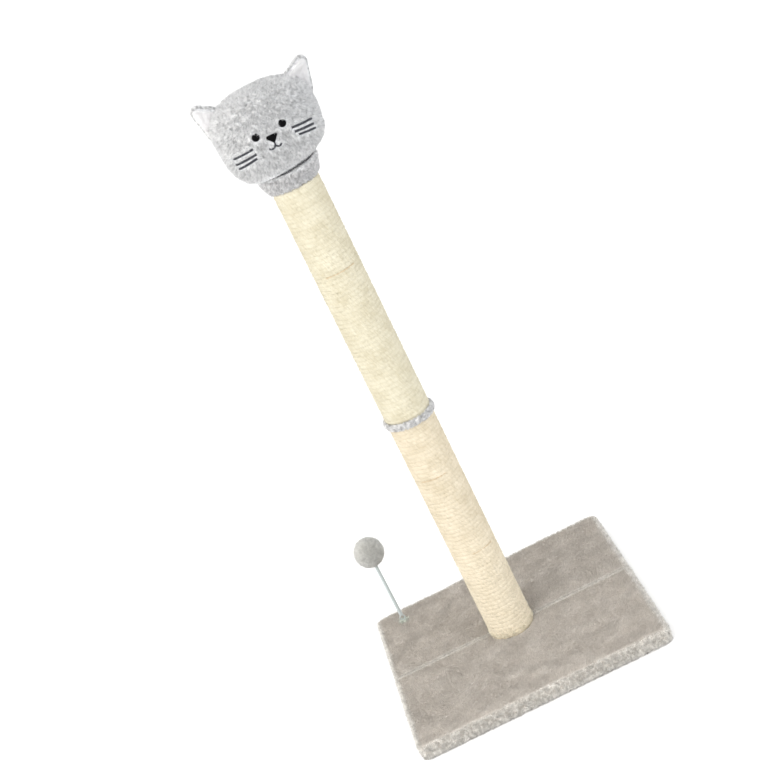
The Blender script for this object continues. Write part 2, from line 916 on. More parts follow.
class CoilTree(Repeat):
    """Winds a strand about Z, climbing anticlockwise, round or lobed like a rope of three strands."""

    name = "coil"
    sockets = {
        **dict.fromkeys(("Turns", "Radius", "Pitch", "Strand", "Lobe Depth", "Twists"), "Float"),
        **dict.fromkeys(("Steps", "Sides"), "Int"),
        "Material": "Material",
    }

    def path(self) -> NodeSocket:
        """Makes the winding's centreline, with its length stored along it and its twist set.

        Returns:
            The curve.
        """
        graph, given = self.graph, self.given
        winding = {
            "Resolution": given["Steps"],
            "Rotations": given["Turns"],
            "Start Radius": given["Radius"],
            "End Radius": given["Radius"],
            "Height": self.value("Turns") * self.value("Pitch"),
            "Reverse": True,
        }
        curve = graph.add("GeometryNodeCurveSpiral", None, winding).outputs[0]
        curve = graph.add("GeometryNodeSetCurveNormal", {"mode": "Z_UP"}, {"Curve": curve}).outputs[0]
        length = Value(graph, graph.add("GeometryNodeSplineParameter").outputs["Length"])
        tilt = {"Curve": curve, "Tilt": length * self.value("Twists") * (2 * math.pi)}
        curve = graph.add("GeometryNodeSetCurveTilt", None, tilt).outputs[0]
        return self.stored(curve, "along", length)

    def section(self) -> NodeSocket:
        """Makes the strand's cross-section, with three lobes as deep as is asked.

        Returns:
            The closed curve.
        """
        graph, given = self.graph, self.given
        circle = {"Resolution": given["Sides"], "Radius": 1.0}
        curve = graph.add("GeometryNodeCurvePrimitiveCircle", None, circle).outputs[0]
        place = graph.add("GeometryNodeInputPosition").outputs[0]
        curve = self.stored(curve, "across", place, "FLOAT_VECTOR")
        index = Value(graph, graph.add("GeometryNodeInputIndex").outputs[0])
        lobes = abs((index * (3 * math.pi) / self.value("Sides")).cosine())
        depth = self.value("Lobe Depth")
        size = (depth * lobes + (1.0 - depth)) * self.value("Strand")
        shaped = {"Geometry": curve, "Position": graph.vector("SCALE", place, scale=size)}
        return graph.add("GeometryNodeSetPosition", None, shaped).outputs[0]

    def build(self) -> NodeSocket:
        """Sweeps the section along the path and returns the strand."""
        sweep = {"Curve": self.path(), "Profile Curve": self.section(), "Fill Caps": True}
        return self.finished(self.graph.add("GeometryNodeCurveToMesh", None, sweep).outputs[0])


class StitchTree(Repeat):
    """Lays a thread's arch across a line of points that know which way is along and outwards."""

    name = "stitches"
    sockets = {"Width": "Float", "Height": "Float", "Thread": "Float", "Material": "Material"}

    def arch(self) -> NodeSocket:
        """Makes one thread's arch.

        Returns:
            The arch, standing on its ends.
        """
        graph, given = self.graph, self.given
        arc = {"Resolution": 8, "Radius": 1.0, "Start Angle": 0.0, "Sweep Angle": math.pi}
        curve = graph.add("GeometryNodeCurveArc", {"mode": "RADIUS"}, arc).outputs[0]
        reach = {"X": self.value("Width") * 0.5, "Y": given["Height"], "Z": 1.0}
        scale = graph.add("ShaderNodeCombineXYZ", None, reach).outputs[0]
        turn = Euler((math.pi / 2, 0.0, math.pi / 2))
        place = {"Geometry": curve, "Rotation": turn, "Scale": scale}
        curve = graph.add("GeometryNodeTransform", None, place).outputs[0]
        circle = {"Resolution": 6, "Radius": given["Thread"]}
        section = graph.add("GeometryNodeCurvePrimitiveCircle", None, circle).outputs[0]
        sweep = {"Curve": curve, "Profile Curve": section, "Fill Caps": True}
        return graph.add("GeometryNodeCurveToMesh", None, sweep).outputs[0]

    def build(self) -> NodeSocket:
        """Copies the arch to every point, turned as the point says.

        Returns:
            The threads.
        """
        graph = self.graph
        align = "FunctionNodeAlignRotationToVector"
        outward = {"Vector": self.attribute("outward", "FLOAT_VECTOR")}
        rotation = graph.add(align, {"axis": "Z"}, outward).outputs[0]
        along = {"Rotation": rotation, "Vector": self.attribute("along", "FLOAT_VECTOR")}
        rotation = graph.add(align, {"axis": "X", "pivot_axis": "Z"}, along).outputs[0]
        points = graph.add("GeometryNodeMeshToPoints", None, {"Mesh": self.given["Geometry"]}).outputs[0]
        stand = {"Points": points, "Instance": self.arch(), "Rotation": rotation}
        return self.finished(graph.add("GeometryNodeInstanceOnPoints", None, stand).outputs[0])


@dataclass(frozen=True)
class Coat:
    """How a skin's fibres grow. Sizes are in metres."""

    count: int
    length: float
    radius: float
    tones: tuple[Finish, ...]
    brush: Triple = (0.0, 0.0, 0.0)
    clump: float = 0.01
    clump_strength: float = 2.5
    jitter: float = 0.3
    patch: float = 0.003
    broad: float = 0.08
    seed: int = 1


@dataclass(frozen=True)
class Winding:
    """A strand wound about Z from the floor up. Sizes are in metres.

    Twists is the strand's turns about itself in a metre, and steps its points in one winding.
    """

    turns: float
    radius: float
    pitch: float
    strand: float
    finish: Finish
    lobe_depth: float = 0.0
    twists: float = 0.0
    steps: int = 16
    sides: int = 8

    @property
    def material(self) -> Material:
        """Returns the strand's material."""
        return self.finish.material()


class Workshop:
    """Places finished pieces on the model and keeps the node trees that they share."""

    def __init__(self) -> None:
        """Makes the three trees."""
        self.fibres = FibreTree()
        self.coils = CoilTree()
        self.stitches = StitchTree()

    def coat(self, name: str, skin: Object, coat: Coat) -> Object:
        """Grows a skin's fibres.

        Args:
            name: The coat's name.
            skin: The skin, with its fur attribute from 0, bare, to 1, thick.
            coat: How the fibres grow.

        Returns:
            The fibres as one object.
        """
        fur = marked(skin, "fur")
        areas = [face.area * fur[list(face.vertices)].mean() for face in skin.data.polygons]
        inputs = {
            "Density": coat.count / sum(areas),
            "Length": coat.length,
            "Radius": coat.radius,
            "Brush": coat.brush,
            "Clump Frequency": 1 / coat.clump,
            "Clump Strength": coat.clump_strength,
            "Jitter": coat.jitter,
            "Tone Frequency": 1 / coat.patch,
            "Broad": coat.broad,
            "Seed": coat.seed,
        }
        inputs |= {f"Tone {i}": tone.material() for i, tone in enumerate(coat.tones)}
        made = self.fibres.bake(name, skin, inputs)
        for attribute in ("tone", "fur"):
            found = made.data.attributes.get(attribute)
            if found is not None:
                made.data.attributes.remove(found)
        return made

    def wind(self, name: str, winding: Winding) -> Object:
        """Winds a strand.

        Args:
            name: The new piece's name.
            winding: The strand and its path.

        Returns:
            The strand as one object.
        """
        host = link(bpy.data.objects.new("winding", bpy.data.meshes.new("winding")))
        inputs = {name: getattr(winding, name.lower().replace(" ", "_")) for name in CoilTree.sockets}
        made = self.coils.bake(name, host, inputs)
        bpy.data.objects.remove(host)
        return made

    def place(
        self, piece: Object, slot: Slot, body: Body = Body.STAND, stands_for: Sequence[str] = ()
    ) -> None:
        """Puts a piece on a body, with its material slot and the nodes that it stands for."""
        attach(piece, body.value)
        self.describe(piece, slot, stands_for)

    def grow(self, name: str, skin: Object, coat: Coat, slot: Slot, body: Body = Body.STAND) -> None:
        """Grows a skin's fibres and puts them on a body."""
        self.place(self.coat(name, skin, coat), slot, body)

    def describe(self, piece: Object, slot: Slot, stands_for: Sequence[str] = ()) -> None:
        """Names a piece's material slot and the nodes that it stands for, and logs it."""
        if stands_for:
            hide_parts(*stands_for)
        LOG.info("%s: %d faces", piece.name, len(piece.data.polygons))


def solidified(obj: Object, thickness: float) -> None:
    """Gives an open skin a thickness inwards, in its own mesh.

    Args:
        obj: The skin.
        thickness: How thick it becomes, in metres.
    """
    modifier = obj.modifiers.new("thickness", "SOLIDIFY")
    modifier.thickness = thickness
    modifier.offset = -1.0
    depsgraph = bpy.context.evaluated_depsgraph_get()
    mesh = bpy.data.meshes.new_from_object(obj.evaluated_get(depsgraph), depsgraph=depsgraph)
    obj.modifiers.remove(modifier)
    mesh.name = obj.name
    obj.data = mesh


# ---------- Base ----------
BASE_TONE: Colour = (204, 198, 190)
BASE_SKIN = Mottled("base_skin", (182, 175, 167), second=(206, 200, 193), patch=0.012, grain=0.002)
BASE_FIBRES = tones("base_fibre", BASE_TONE, 20)
FRINGE_FIBRES = tones("fringe_fibre", (226, 223, 217), 27)
RIDGE_FIBRES = tones("ridge_fibre", (224, 220, 213), 14)


BASE_COATS = {
    "rim": Coat(5000, 4.8 * MM, 0.42 * MM, FRINGE_FIBRES, brush=(0.0, 0.0, 0.6), clump=4.5 * MM,
                clump_strength=2.5, patch=4 * MM, seed=27),
    "nap": Coat(54000, 4.2 * MM, 0.34 * MM, BASE_FIBRES, brush=(0.15, -0.6, 0.1), clump=26 * MM,
                clump_strength=2.4, jitter=0.45, patch=2.6 * MM, broad=0.36, seed=11),
    "fringe": Coat(16000, 4.6 * MM, 0.42 * MM, FRINGE_FIBRES, brush=(0.0, 0.0, 0.15), clump=4.5 * MM,
                   clump_strength=4.5, patch=4 * MM, seed=15),
    "ridge": Coat(8000, 3.4 * MM, 0.42 * MM, RIDGE_FIBRES, brush=(0.0, -0.3, 0.0), clump=5 * MM,
                  clump_strength=1.5, patch=4 * MM, seed=19),
    "hem": Coat(9000, 4.8 * MM, 0.42 * MM, FRINGE_FIBRES, brush=(0.0, 0.0, -1.1), clump=4.5 * MM,
                clump_strength=3.0, patch=4 * MM, seed=23),
}


@dataclass(frozen=True)
class BaseSizes:
    """The cover's sizes that its box doesn't give, in metres, with the rows by the seam in millimetres.

    Each half's edge at the seam is beaded, on the top and at the sides, with a valley between the
    halves. Its top is pressed down round the post, and a far corner stands up.
    """

    corner: float = 9 * MM
    edge: float = 4 * MM
    hem: float = 28 * MM
    step: float = 2.8 * MM
    side_rows: int = 10
    seam_rows: tuple[float, ...] = (0.15, 0.8, 1.6, 2.4, 3.2, 4.0, 4.9, 6.2, 8.0, 10.2, 12.8)
    over_board: float = 5.05 * MM
    bead_rise: float = 1.5 * MM
    bead_shift: float = 3.2 * MM
    bead_width: float = 2.4 * MM
    valley: float = 2.4 * MM
    valley_width: float = 1.1 * MM
    side_bead_rise: float = 1.0 * MM
    side_bead_shift: float = 4 * MM
    side_bead_width: float = 3.5 * MM
    side_inset: float = 0.2 * MM
    right_side: float = 2 * MM
    thickness: float = 1.8 * MM
    pressed: float = 0.4 * MM
    press_reach: Span = (-1 * MM, 7 * MM)
    under_nap: float = 1.9 * MM
    soft: tuple[Lumps, Lumps] = (Lumps(45 * MM, 0.5 * MM, 3.0), Lumps(13 * MM, 0.35 * MM, 5.0))
    corner_rise: float = 2.4 * MM
    corner_back: float = 110 * MM
    corner_across: Span = (-40 * MM, 120 * MM)


@dataclass(frozen=True)
class BaseFur:
    """Where the cover's coats thin out, in metres from the seam, the post, the toy and the floor."""

    thinnest: float = 0.2
    seam: Span = (0.2 * MM, 2.5 * MM)
    post: Span = (0.0, 4 * MM)
    toy: Span = (4 * MM, 8 * MM)
    upright: Span = (0.15, 0.5)
    ridge_shift: float = 2.6 * MM
    ridge_width: float = 1.7 * MM
    hem: Span = (3 * MM, 7 * MM)
    rim: float = 4.5 * MM
    over_floor: float = 0.3 * MM


class Base:
    """The two plush halves of the base's cover."""

    def __init__(self, workshop: Workshop, sizes: BaseSizes = BaseSizes(), fur: BaseFur = BaseFur()) -> None:
        """Reads the cover's box, the board's top, the post's radius and the toy's place."""
        self.workshop = workshop
        self.sizes = sizes
        self.fur = fur
        low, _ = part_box("base_plush_front")
        _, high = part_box("base_plush_back")
        self.half = high.x
        self.bottom = low.z
        self.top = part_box("base_board")[1].z + sizes.over_board
        self.post_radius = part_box("lower_rope")[1].x
        anchor_low, anchor_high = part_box("toy_anchor")
        self.toy = ((anchor_low.x + anchor_high.x) / 2, (anchor_low.y + anchor_high.y) / 2)

    def lattice(self, side: int) -> tuple[Array, list[tuple[int, ...]]]:
        """Makes a sharp-edged half box, open inside the hem.

        Args:
            side: -1 for the front half and 1 for the back half.

        Returns:
            The box's points and its faces.
        """
        half, step, hem = self.half, self.sizes.step, self.sizes.hem
        xs = np.linspace(-half, half, round(2 * half / step) + 1)
        near = np.array(self.sizes.seam_rows) * MM
        far = np.linspace(near[-1], half - hem, round((half - hem - near[-1]) / step) + 1)[1:]
        last = np.linspace(half - hem, half, round(hem / step) + 1)[1:]
        ys = side * np.concatenate([near, far, last])
        zs = np.linspace(self.bottom, self.top, self.sizes.side_rows)
        points: list[Triple] = []
        faces: list[tuple[int, ...]] = []

        def patch(us: Array, vs: Array, place: Callable, flip: bool, inside: float = -1.0) -> None:
            """Adds a grid of faces, except those that lie less than a distance from the middle."""
            start, count = len(points), len(vs)
            points.extend(place(u, v) for u in us for v in vs)
            for i in range(len(us) - 1):
                for j in range(count - 1):
                    if max(abs(us[i] + us[i + 1]), abs(vs[j] + vs[j + 1])) / 2 > inside:
                        a = start + i * count + j
                        quad = (a, a + count, a + count + 1, a + 1)
                        faces.append(quad[::-1] if flip else quad)

        turned = side < 0
        patch(xs, ys, lambda u, v: (u, v, self.top), turned)
        patch(xs, ys, lambda u, v: (u, v, self.bottom), not turned, half - hem)
        patch(xs, zs, lambda u, v: (u, side * half, v), not turned)
        patch(ys, zs, lambda u, v: (half, u, v), turned)
        patch(ys, zs, lambda u, v: (-half, u, v), not turned)
        keys = np.round(np.array(points) / SAME_PLACE).astype(np.int64)
        _, first, inverse = np.unique(keys, axis=0, return_index=True, return_inverse=True)
        inverse = inverse.ravel()
        merged = [tuple(int(inverse[i]) for i in face) for face in faces]
        return np.array(points)[first], merged

    def rounded(self, points: Array) -> Array:
        """Rounds the box's upright corners, and then its top and bottom edges.

        Args:
            points: The box's points.

        Returns:
            Their new places.
        """
        corner, edge, half = self.sizes.corner, self.sizes.edge, self.half
        flat = points[:, :2]
        away = np.clip(np.abs(flat) - (half - corner), 0.0, None)
        reach = np.linalg.norm(away, axis=1)
        in_corner = away.min(axis=1) > 0
        square = away.max(axis=1)
        shrink = np.where(in_corner, square / np.maximum(reach, LEAST), 1.0)
        pulled = np.sign(flat) * ((half - corner) + away * shrink[:, None])
        flat = np.where(in_corner[:, None], pulled, flat)
        outward = np.where(
            in_corner[:, None],
            np.sign(flat) * away / np.maximum(reach, LEAST)[:, None],
            np.where(np.abs(flat) >= np.abs(flat).max(axis=1)[:, None], np.sign(flat), 0.0),
        )
        inset = np.where(in_corner, corner - square, half - np.abs(points[:, :2]).max(axis=1))
        result = points.copy()
        for level, sign in ((self.top, 1.0), (self.bottom, -1.0)):
            across = np.clip(edge - inset, 0.0, None)
            along = np.clip(edge - sign * (level - points[:, 2]), 0.0, None)
            near = (across > 0) & (along > 0)
            length = np.maximum(np.hypot(across, along), LEAST)
            longest = np.maximum(across, along)
            slide = np.where(near, across * (1 - longest / length), 0.0)
            drop = np.where(near, along * (1 - longest / length), 0.0)
            flat = flat - outward * slide[:, None]
            result[:, 2] -= sign * drop
        result[:, :2] = flat
        return result

    def relief(self, points: Array) -> Array:
        """Returns how far the cover's top stands up: beads along the seam and a press round the post.

        Args:
            points: Places on the cover.

        Returns:
            A height for each.
        """
        sizes = self.sizes
        away = np.abs(points[:, 1])
        bead = sizes.bead_rise * swelling(away, sizes.bead_shift, sizes.bead_width)
        valley = sizes.valley * swelling(away, 0.0, sizes.valley_width)
        from_post = np.hypot(points[:, 0], points[:, 1])
        start, end = (self.post_radius + reach for reach in sizes.press_reach)
        return bead - valley - sizes.pressed * (1 - smooth_step(from_post, start, end))

    def stuff(self, skin: Object, points: Array, on_top: Array, on_hem: Array) -> None:
        """Gives a half its unevenness, its beads and its raised corner.

        Args:
            skin: The half's skin.
            points: The skin's points.
            on_top: Which points lie on the box's top.
            on_hem: Which points lie on its hem.
        """
        sizes = self.sizes
        soft = sum(layer.over(points) for layer in sizes.soft)
        inner = (np.abs(points[:, :2]).max(axis=1) < self.half - sizes.edge) & on_top
        swell(skin, np.where(on_hem, 0.0, soft - sizes.under_nap))
        moved = positions(skin)
        moved[:, 2] += np.where(inner, self.relief(points), 0.0)
        far_right = smooth_step(points[:, 1], sizes.corner_back, self.half)
        far_right *= smooth_step(points[:, 0], *sizes.corner_across)
        moved[:, 2] += np.where(on_hem, 0.0, sizes.corner_rise * far_right)
        away = np.abs(points[:, 1])
        bead = sizes.side_bead_rise * swelling(away, sizes.side_bead_shift, sizes.side_bead_width)
        at_side = (np.abs(points[:, 0]) > self.half - 1 * MM) & ~on_hem
        to_right = sizes.right_side * (points[:, 0] > 0)
        moved[:, 0] += np.where(at_side, np.sign(points[:, 0]) * (bead - sizes.side_inset) + to_right, 0.0)
        move(skin, moved)

    def shares(self, skin: Object, points: Array, on_top: Array, on_hem: Array) -> dict[str, Array]:
        """Returns how thickly each coat grows over a half.

        Args:
            skin: The half's finished skin.
            points: The skin's points before it was stuffed.
            on_top: Which of them lie on the box's top.
            on_hem: Which of them lie on its hem.

        Returns:
            A share from 0 to 1 for each point, by the coat's name.
        """
        fur = self.fur
        x, y, z = points.T
        away = np.abs(y)
        thick = np.where(on_hem, 0.0, smooth_step(away, *fur.seam) * (1 - fur.thinnest) + fur.thinnest)
        from_post = np.hypot(x, y) - self.post_radius
        thick *= np.where(on_top, smooth_step(from_post, *fur.post), 1.0)
        from_toy = np.hypot(x - self.toy[0], y - self.toy[1])
        thick *= np.where(on_top, smooth_step(from_toy, *fur.toy), 1.0)
        upright = smooth_step(1 - np.abs(normals(skin)[:, 2]), *fur.upright)
        from_edge = self.half - np.maximum(np.abs(x), y)
        return {
            "rim": swelling(from_edge, 0.0, fur.rim) * on_top,
            "nap": thick * (1 - upright),
            "fringe": thick * upright,
            "ridge": swelling(away, fur.ridge_shift, fur.ridge_width) * on_top,
            "hem": upright * (1 - smooth_step(z - self.bottom, *fur.hem)),
        }

    def build(self) -> None:
        """Builds both halves, with their nap."""
        for name, side in (("front", -1), ("back", 1)):
            points, faces = self.lattice(side)
            on_top = points[:, 2] > self.top - LEVEL_SLACK
            on_hem = points[:, 2] < self.bottom + LEVEL_SLACK
            points = self.rounded(points)
            skin = mesh_object(f"base_cover_{name}", points, faces, BASE_SKIN)
            self.stuff(skin, points, on_top, on_hem)
            for part, share in self.shares(skin, points, on_top, on_hem).items():
                mark(skin, "fur", share)
                coat = replace(BASE_COATS[part], seed=BASE_COATS[part].seed + side)
                pile = self.workshop.coat(f"base_{part}_{name}", skin, coat)
                tips = positions(pile)
                tips[:, 2] = np.maximum(tips[:, 2], self.fur.over_floor)
                move(pile, tips)
                self.workshop.place(pile, Slot.BASE_PLUSH)
            solidified(skin, self.sizes.thickness)
            self.workshop.place(skin, Slot.BASE_PLUSH, stands_for=[f"base_plush_{name}"])


# ---------- Post ----------
SISALS = {
    "lower": Sisal("lower_sisal", (190, 178, 153), second=(220, 210, 190), roughness=0.9, specular=0.15),
    "upper": Sisal("upper_sisal", (186, 178, 153), second=(214, 209, 190), roughness=0.9, specular=0.15),
}
ROPE_GAP = Finish("rope_gap", (196, 178, 150), 0.95, specular=0.1)
SISAL_HAIRS = tones("sisal_hair", (206, 201, 182), 16)
FRAYED_HAIRS = tones("frayed_hair", (246, 238, 216), 12)
COLLAR_SKIN = Finish("collar_skin", (208, 208, 208), 0.95)
COLLAR_FIBRES = tones("collar_fibre", (228, 228, 228), 34)


STRAY_COAT = Coat(19000, 2.6 * MM, 0.2 * MM, SISAL_HAIRS, clump_strength=5.0, jitter=1.1, seed=21)
FRAY_COAT = Coat(3600, 3.4 * MM, 0.34 * MM, FRAYED_HAIRS, brush=(0.0, 0.0, -0.3), clump=7 * MM,
                 clump_strength=6.0, jitter=0.8, seed=22)
COLLAR_COAT = Coat(13000, 2.8 * MM, 0.32 * MM, COLLAR_FIBRES, brush=(0.0, 0.0, -0.2), clump=4 * MM,
                   clump_strength=4.0, patch=3.5 * MM, seed=31)


@dataclass(frozen=True)
class RopeSizes:
    """The rope's sizes in metres, with the wear of its grooves and the fraying of its foot.

    Hairs grow on the outside of the winding, from a depth over the strand's middle, and stop
    short of its two ends.
    """

    diameter: float = 6 * MM
    strand: float = 7.2 * MM
    lobe_depth: float = 0.07
    lay: float = 12 * MM
    steps: int = 112
    sides: int = 12
    rough: Lumps = Lumps(3.5 * MM, 0.5 * MM, 11.0)
    fray: Lumps = Lumps(6 * MM, 3.2 * MM, 12.0)
    worn: Lumps = Lumps(22 * MM, 0.4 * MM, 14.0)
    worn_depth: float = 0.4 * MM
    worn_from: float = 1 * MM
    worn_share: float = 0.65
    worn_levels: Span = (70 * MM, 240 * MM)
    hairy_from: float = 4 * MM
    hairy_ends: Span = (1 * MM, -6 * MM)
    frayed_ends: Span = (2 * MM, 8 * MM)


@dataclass(frozen=True)
class Join:
    """A gap in the rope, from one angle to another about the post's front, at a level.

    The dark line in it lies deeper in some places than in others. Sizes are in metres.
    """

    name: str
    level: float
    start: float
    end: float
    strand: float = 0.6 * MM
    depth: float = 0.5 * MM
    ragged: float = 1.7 * MM
    ragged_size: float = 3.5 * MM
    points: int = 100


@dataclass(frozen=True)
class CollarSizes:
    """The plush ring's sizes against its box, in metres."""

    raised: float = 2.6 * MM
    thinner: float = 1.5 * MM
    into_rope: float = 0.6 * MM
    under_pile: float = 1.6 * MM
    lip: float = 0.5 * MM
    bore_step: float = 0.3 * MM
    round_step: float = 0.4 * MM
    fullness: float = 0.7
    turns: int = 9
    columns: int = 128
    soft: Lumps = Lumps(7 * MM, 0.5 * MM, 9.0)


JOINS = (
    Join("rope_gap_low", 159.5 * MM, -12, 50),
    Join("rope_gap_middle", 280.5 * MM, -48, 20),
    Join("rope_gap_high", 585 * MM, -34, 44),
)


class Post:
    """The rope on both sections, and the plush collar over their joint."""

    def __init__(self, workshop: Workshop, rope: RopeSizes = RopeSizes()) -> None:
        """Reads the post's radius."""
        self.workshop = workshop
        self.rope = rope
        self.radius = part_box("lower_rope")[1].x

    def join(self, join: Join) -> None:
        """Makes the broken dark line where one length of rope ends and the next begins.

        Args:
            join: Where the line lies.
        """
        turns = (join.end - join.start) / 360
        steps = round(join.points / turns)
        winding = Winding(turns, self.radius, self.rope.diameter, join.strand, ROPE_GAP, steps=steps)
        gap = self.workshop.wind(join.name, winding)
        points = positions(gap)
        depth = join.depth + lumps(points, join.ragged_size, join.start) * join.ragged
        points[:, :2] *= (1 - depth / self.radius)[:, None]
        turn = np.array(Matrix.Rotation(math.radians(join.start - 90), 3, "Z"))
        move(gap, points @ turn.T + np.array([0.0, 0.0, join.level]))
        self.workshop.place(gap, Slot.SISAL)

    def frayed(self, points: Array) -> Array:
        """Frays the underside of the first turn.

        Args:
            points: The winding's points.

        Returns:
            How far the rope's end lies above the floor, for each point.
        """
        found = np.zeros(len(points))
        at_foot = points[:, 2] < self.rope.diameter
        fray = self.rope.fray
        found[at_foot] = np.clip(lumps(points[at_foot], fray.size, fray.seed), 0.0, 1.0) * fray.height
        return found

    def worn(self, points: Array, away: Array, middle: float) -> Array:
        """Fills the grooves between the turns near the floor, where claws have worn them.

        Args:
            points: The winding's points.
            away: Their distance from the post's middle.
            middle: The distance of the strand's own middle.

        Returns:
            How far each point comes out.
        """
        rope = self.rope
        level = np.percentile(away, 99) - (rope.worn_depth + rope.worn.over(points))
        near_foot = rope.worn_share * (1 - smooth_step(points[:, 2], *rope.worn_levels))
        return np.where(away > middle + rope.worn_from, np.clip(level - away, 0.0, None), 0.0) * near_foot

    def wind(self, section: str) -> None:
        """Winds one section from end to end, and roughs its outside with stray fibres.

        Args:
            section: The lower or the upper one.
        """
        low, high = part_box(f"{section}_rope")
        rope = self.rope
        radius = high.x - rope.strand
        turns = (high.z - low.z) / rope.diameter
        look = (rope.strand, SISALS[section], rope.lobe_depth, 1 / rope.lay, rope.steps, rope.sides)
        shape = Winding(turns, radius, rope.diameter, *look)
        winding = self.workshop.wind(f"{section}_winding", shape)
        points = positions(winding)
        frayed = self.frayed(points) if section == "lower" else 0.0
        points[:, 2] = np.clip(points[:, 2] + low.z, low.z + frayed, high.z)
        away = np.hypot(points[:, 0], points[:, 1])
        if section == "lower":
            raised = self.worn(points, away, radius)
            points[:, :2] *= (1 + raised / away)[:, None]
            away += raised
        seen = away > radius
        rough = np.zeros(len(points))
        rough[seen] = rope.rough.over(points[seen])
        points[:, :2] *= (1 + rough / away)[:, None]
        move(winding, points)
        hairy = (away > radius + rope.hairy_from) & (points[:, 2] > low.z + rope.hairy_ends[0])
        mark(winding, "fur", np.where(hairy & (points[:, 2] < high.z + rope.hairy_ends[1]), 1.0, 0.0))
        self.workshop.grow(f"{section}_stray_fibres", winding, STRAY_COAT, Slot.SISAL)
        if section == "lower":
            start, end = (low.z + level for level in rope.frayed_ends)
            foot = (away > radius + rope.hairy_from) & (points[:, 2] > start) & (points[:, 2] < end)
            mark(winding, "fur", np.where(foot, 1.0, 0.0))
            self.workshop.grow("rope_foot_fray", winding, FRAY_COAT, Slot.SISAL)
        self.workshop.place(winding, Slot.SISAL, stands_for=[f"{section}_rope"])

    def collar(self, sizes: CollarSizes = CollarSizes()) -> None:
        """Makes the plush ring over the joint.

        Args:
            sizes: The ring's sizes.
        """
        low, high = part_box("joint_collar")
        middle, half = (low.z + high.z) / 2 + sizes.raised, (high.z - low.z) / 2 - sizes.thinner
        bore = self.radius - sizes.into_rope
        depth = high.x - sizes.under_pile - bore
        profile = [(bore, middle - half + sizes.lip)]
        for turn in np.linspace(-math.pi / 2, math.pi / 2, sizes.turns):
            radius = bore + sizes.bore_step + depth * math.cos(turn) ** sizes.fullness
            profile.append((radius, middle + (half - sizes.round_step) * math.sin(turn)))
        profile.append((bore, middle + half - sizes.lip))
        ring = revolve("collar_ring", profile, sizes.columns, COLLAR_SKIN)
        points = positions(ring)
        outside = np.hypot(points[:, 0], points[:, 1]) > bore + 0.2 * MM
        swell(ring, np.where(outside, sizes.soft.over(points), 0.0))
        mark(ring, "fur", np.where(outside, 1.0, 0.0))
        self.workshop.grow("collar_pile", ring, COLLAR_COAT, Slot.COLLAR_PLUSH)
        self.workshop.place(ring, Slot.COLLAR_PLUSH, stands_for=["joint_collar"])

    def build(self) -> None:
        """Winds both sections and adds the joins and the collar."""
        for section in ("lower", "upper"):
            self.wind(section)
        for join in JOINS:
            self.join(join)
        self.collar()


# ---------- Head ----------
HEAD_SKIN = Mottled("head_skin", (176, 177, 180), second=(222, 223, 225), patch=0.004, grain=0.002)
HEAD_FIBRES = tones("head_fibre", (230, 231, 232), 36)
NECK_FIBRES = tones("neck_fibre", (221, 221, 222), 38)
LINING_SKIN = Finish("lining_skin", (252, 252, 254), 0.95)
LINING_FIBRES = tones("lining_fibre", (252, 252, 253), 3)
BLACK_GLOSS = Finish("black_gloss", (4, 4, 5), 0.35, specular=0.06)
THREAD = Finish("dark_thread", (70, 71, 76), 0.85, specular=0.1)
CREASE = Finish("crease", (84, 84, 87), 0.95, specular=0.0)

HEAD_COAT = Coat(64000, 5.0 * MM, 0.36 * MM, HEAD_FIBRES, brush=(0.0, 0.0, -0.55), clump=3.8 * MM,
                 clump_strength=4.6, jitter=0.35, patch=2.6 * MM, seed=41)
NECK_COAT = Coat(26000, 4.4 * MM, 0.36 * MM, NECK_FIBRES, brush=(0.0, 0.0, -0.45), clump=4 * MM,
                 clump_strength=4.6, patch=2.6 * MM, seed=61)


@dataclass(frozen=True)
class HeadForm:
    """The head's stuffed shape, in metres from its widest level.

    The tuck is the skin's underside, as shares of the chin's width and levels in millimetres.
    """

    rise: float = 45 * MM
    drop: float = 66.8 * MM
    chin: float = 61 * MM
    crown_fullness: float = 2.55
    cheek_fullness: float = 3.0
    plan_fullness: float = 2.3
    columns: int = 224
    rings: int = 48
    chin_tilt: float = 0.09
    tilt_reach: float = 22 * MM
    tuck: tuple[Span, ...] = (
        (0.35, -6.5), (0.66, -6.5), (0.76, -5.5), (0.8, -2.0), (0.87, -0.6), (0.94, -0.2), (0.985, -0.05),
    )

    def share(self, level: float) -> float:
        """Returns how wide the head is at a level, as a share of its widest."""
        reach, fullness = (self.rise, self.crown_fullness) if level > 0 else (self.drop, self.cheek_fullness)
        return max(1 - (abs(level) / reach) ** fullness, 0.0) ** (1 / fullness)

    def levels(self) -> list[Span]:
        """Spaces the head's rings from the chin's tuck to the crown.

        Returns:
            Each ring's level and share of the widest.
        """
        chin_share = self.share(-self.chin)
        found = [(-self.chin + rise * MM, chin_share * part) for part, rise in self.tuck]
        start = math.acos(chin_share ** (self.cheek_fullness / 2))
        cheeks = (-self.drop, self.cheek_fullness, start, 0.0)
        crown = (self.rise, self.crown_fullness, 0.0, math.pi / 2)
        for reach, fullness, first, last in (cheeks, crown):
            for turn in np.linspace(first, last, self.rings, endpoint=False):
                level = reach * math.sin(turn) ** (2 / fullness)
                found.append((level, math.cos(turn) ** (2 / fullness)))
        return found

    def lifted(self, points: Array, chin_level: float) -> Array:
        """Raises the right side of the chin and of the neck's top, where the head sits askew."""
        result = points.copy()
        result[:, 2] += self.chin_tilt * points[:, 0] * swelling(points[:, 2], chin_level, self.tilt_reach)
        return result


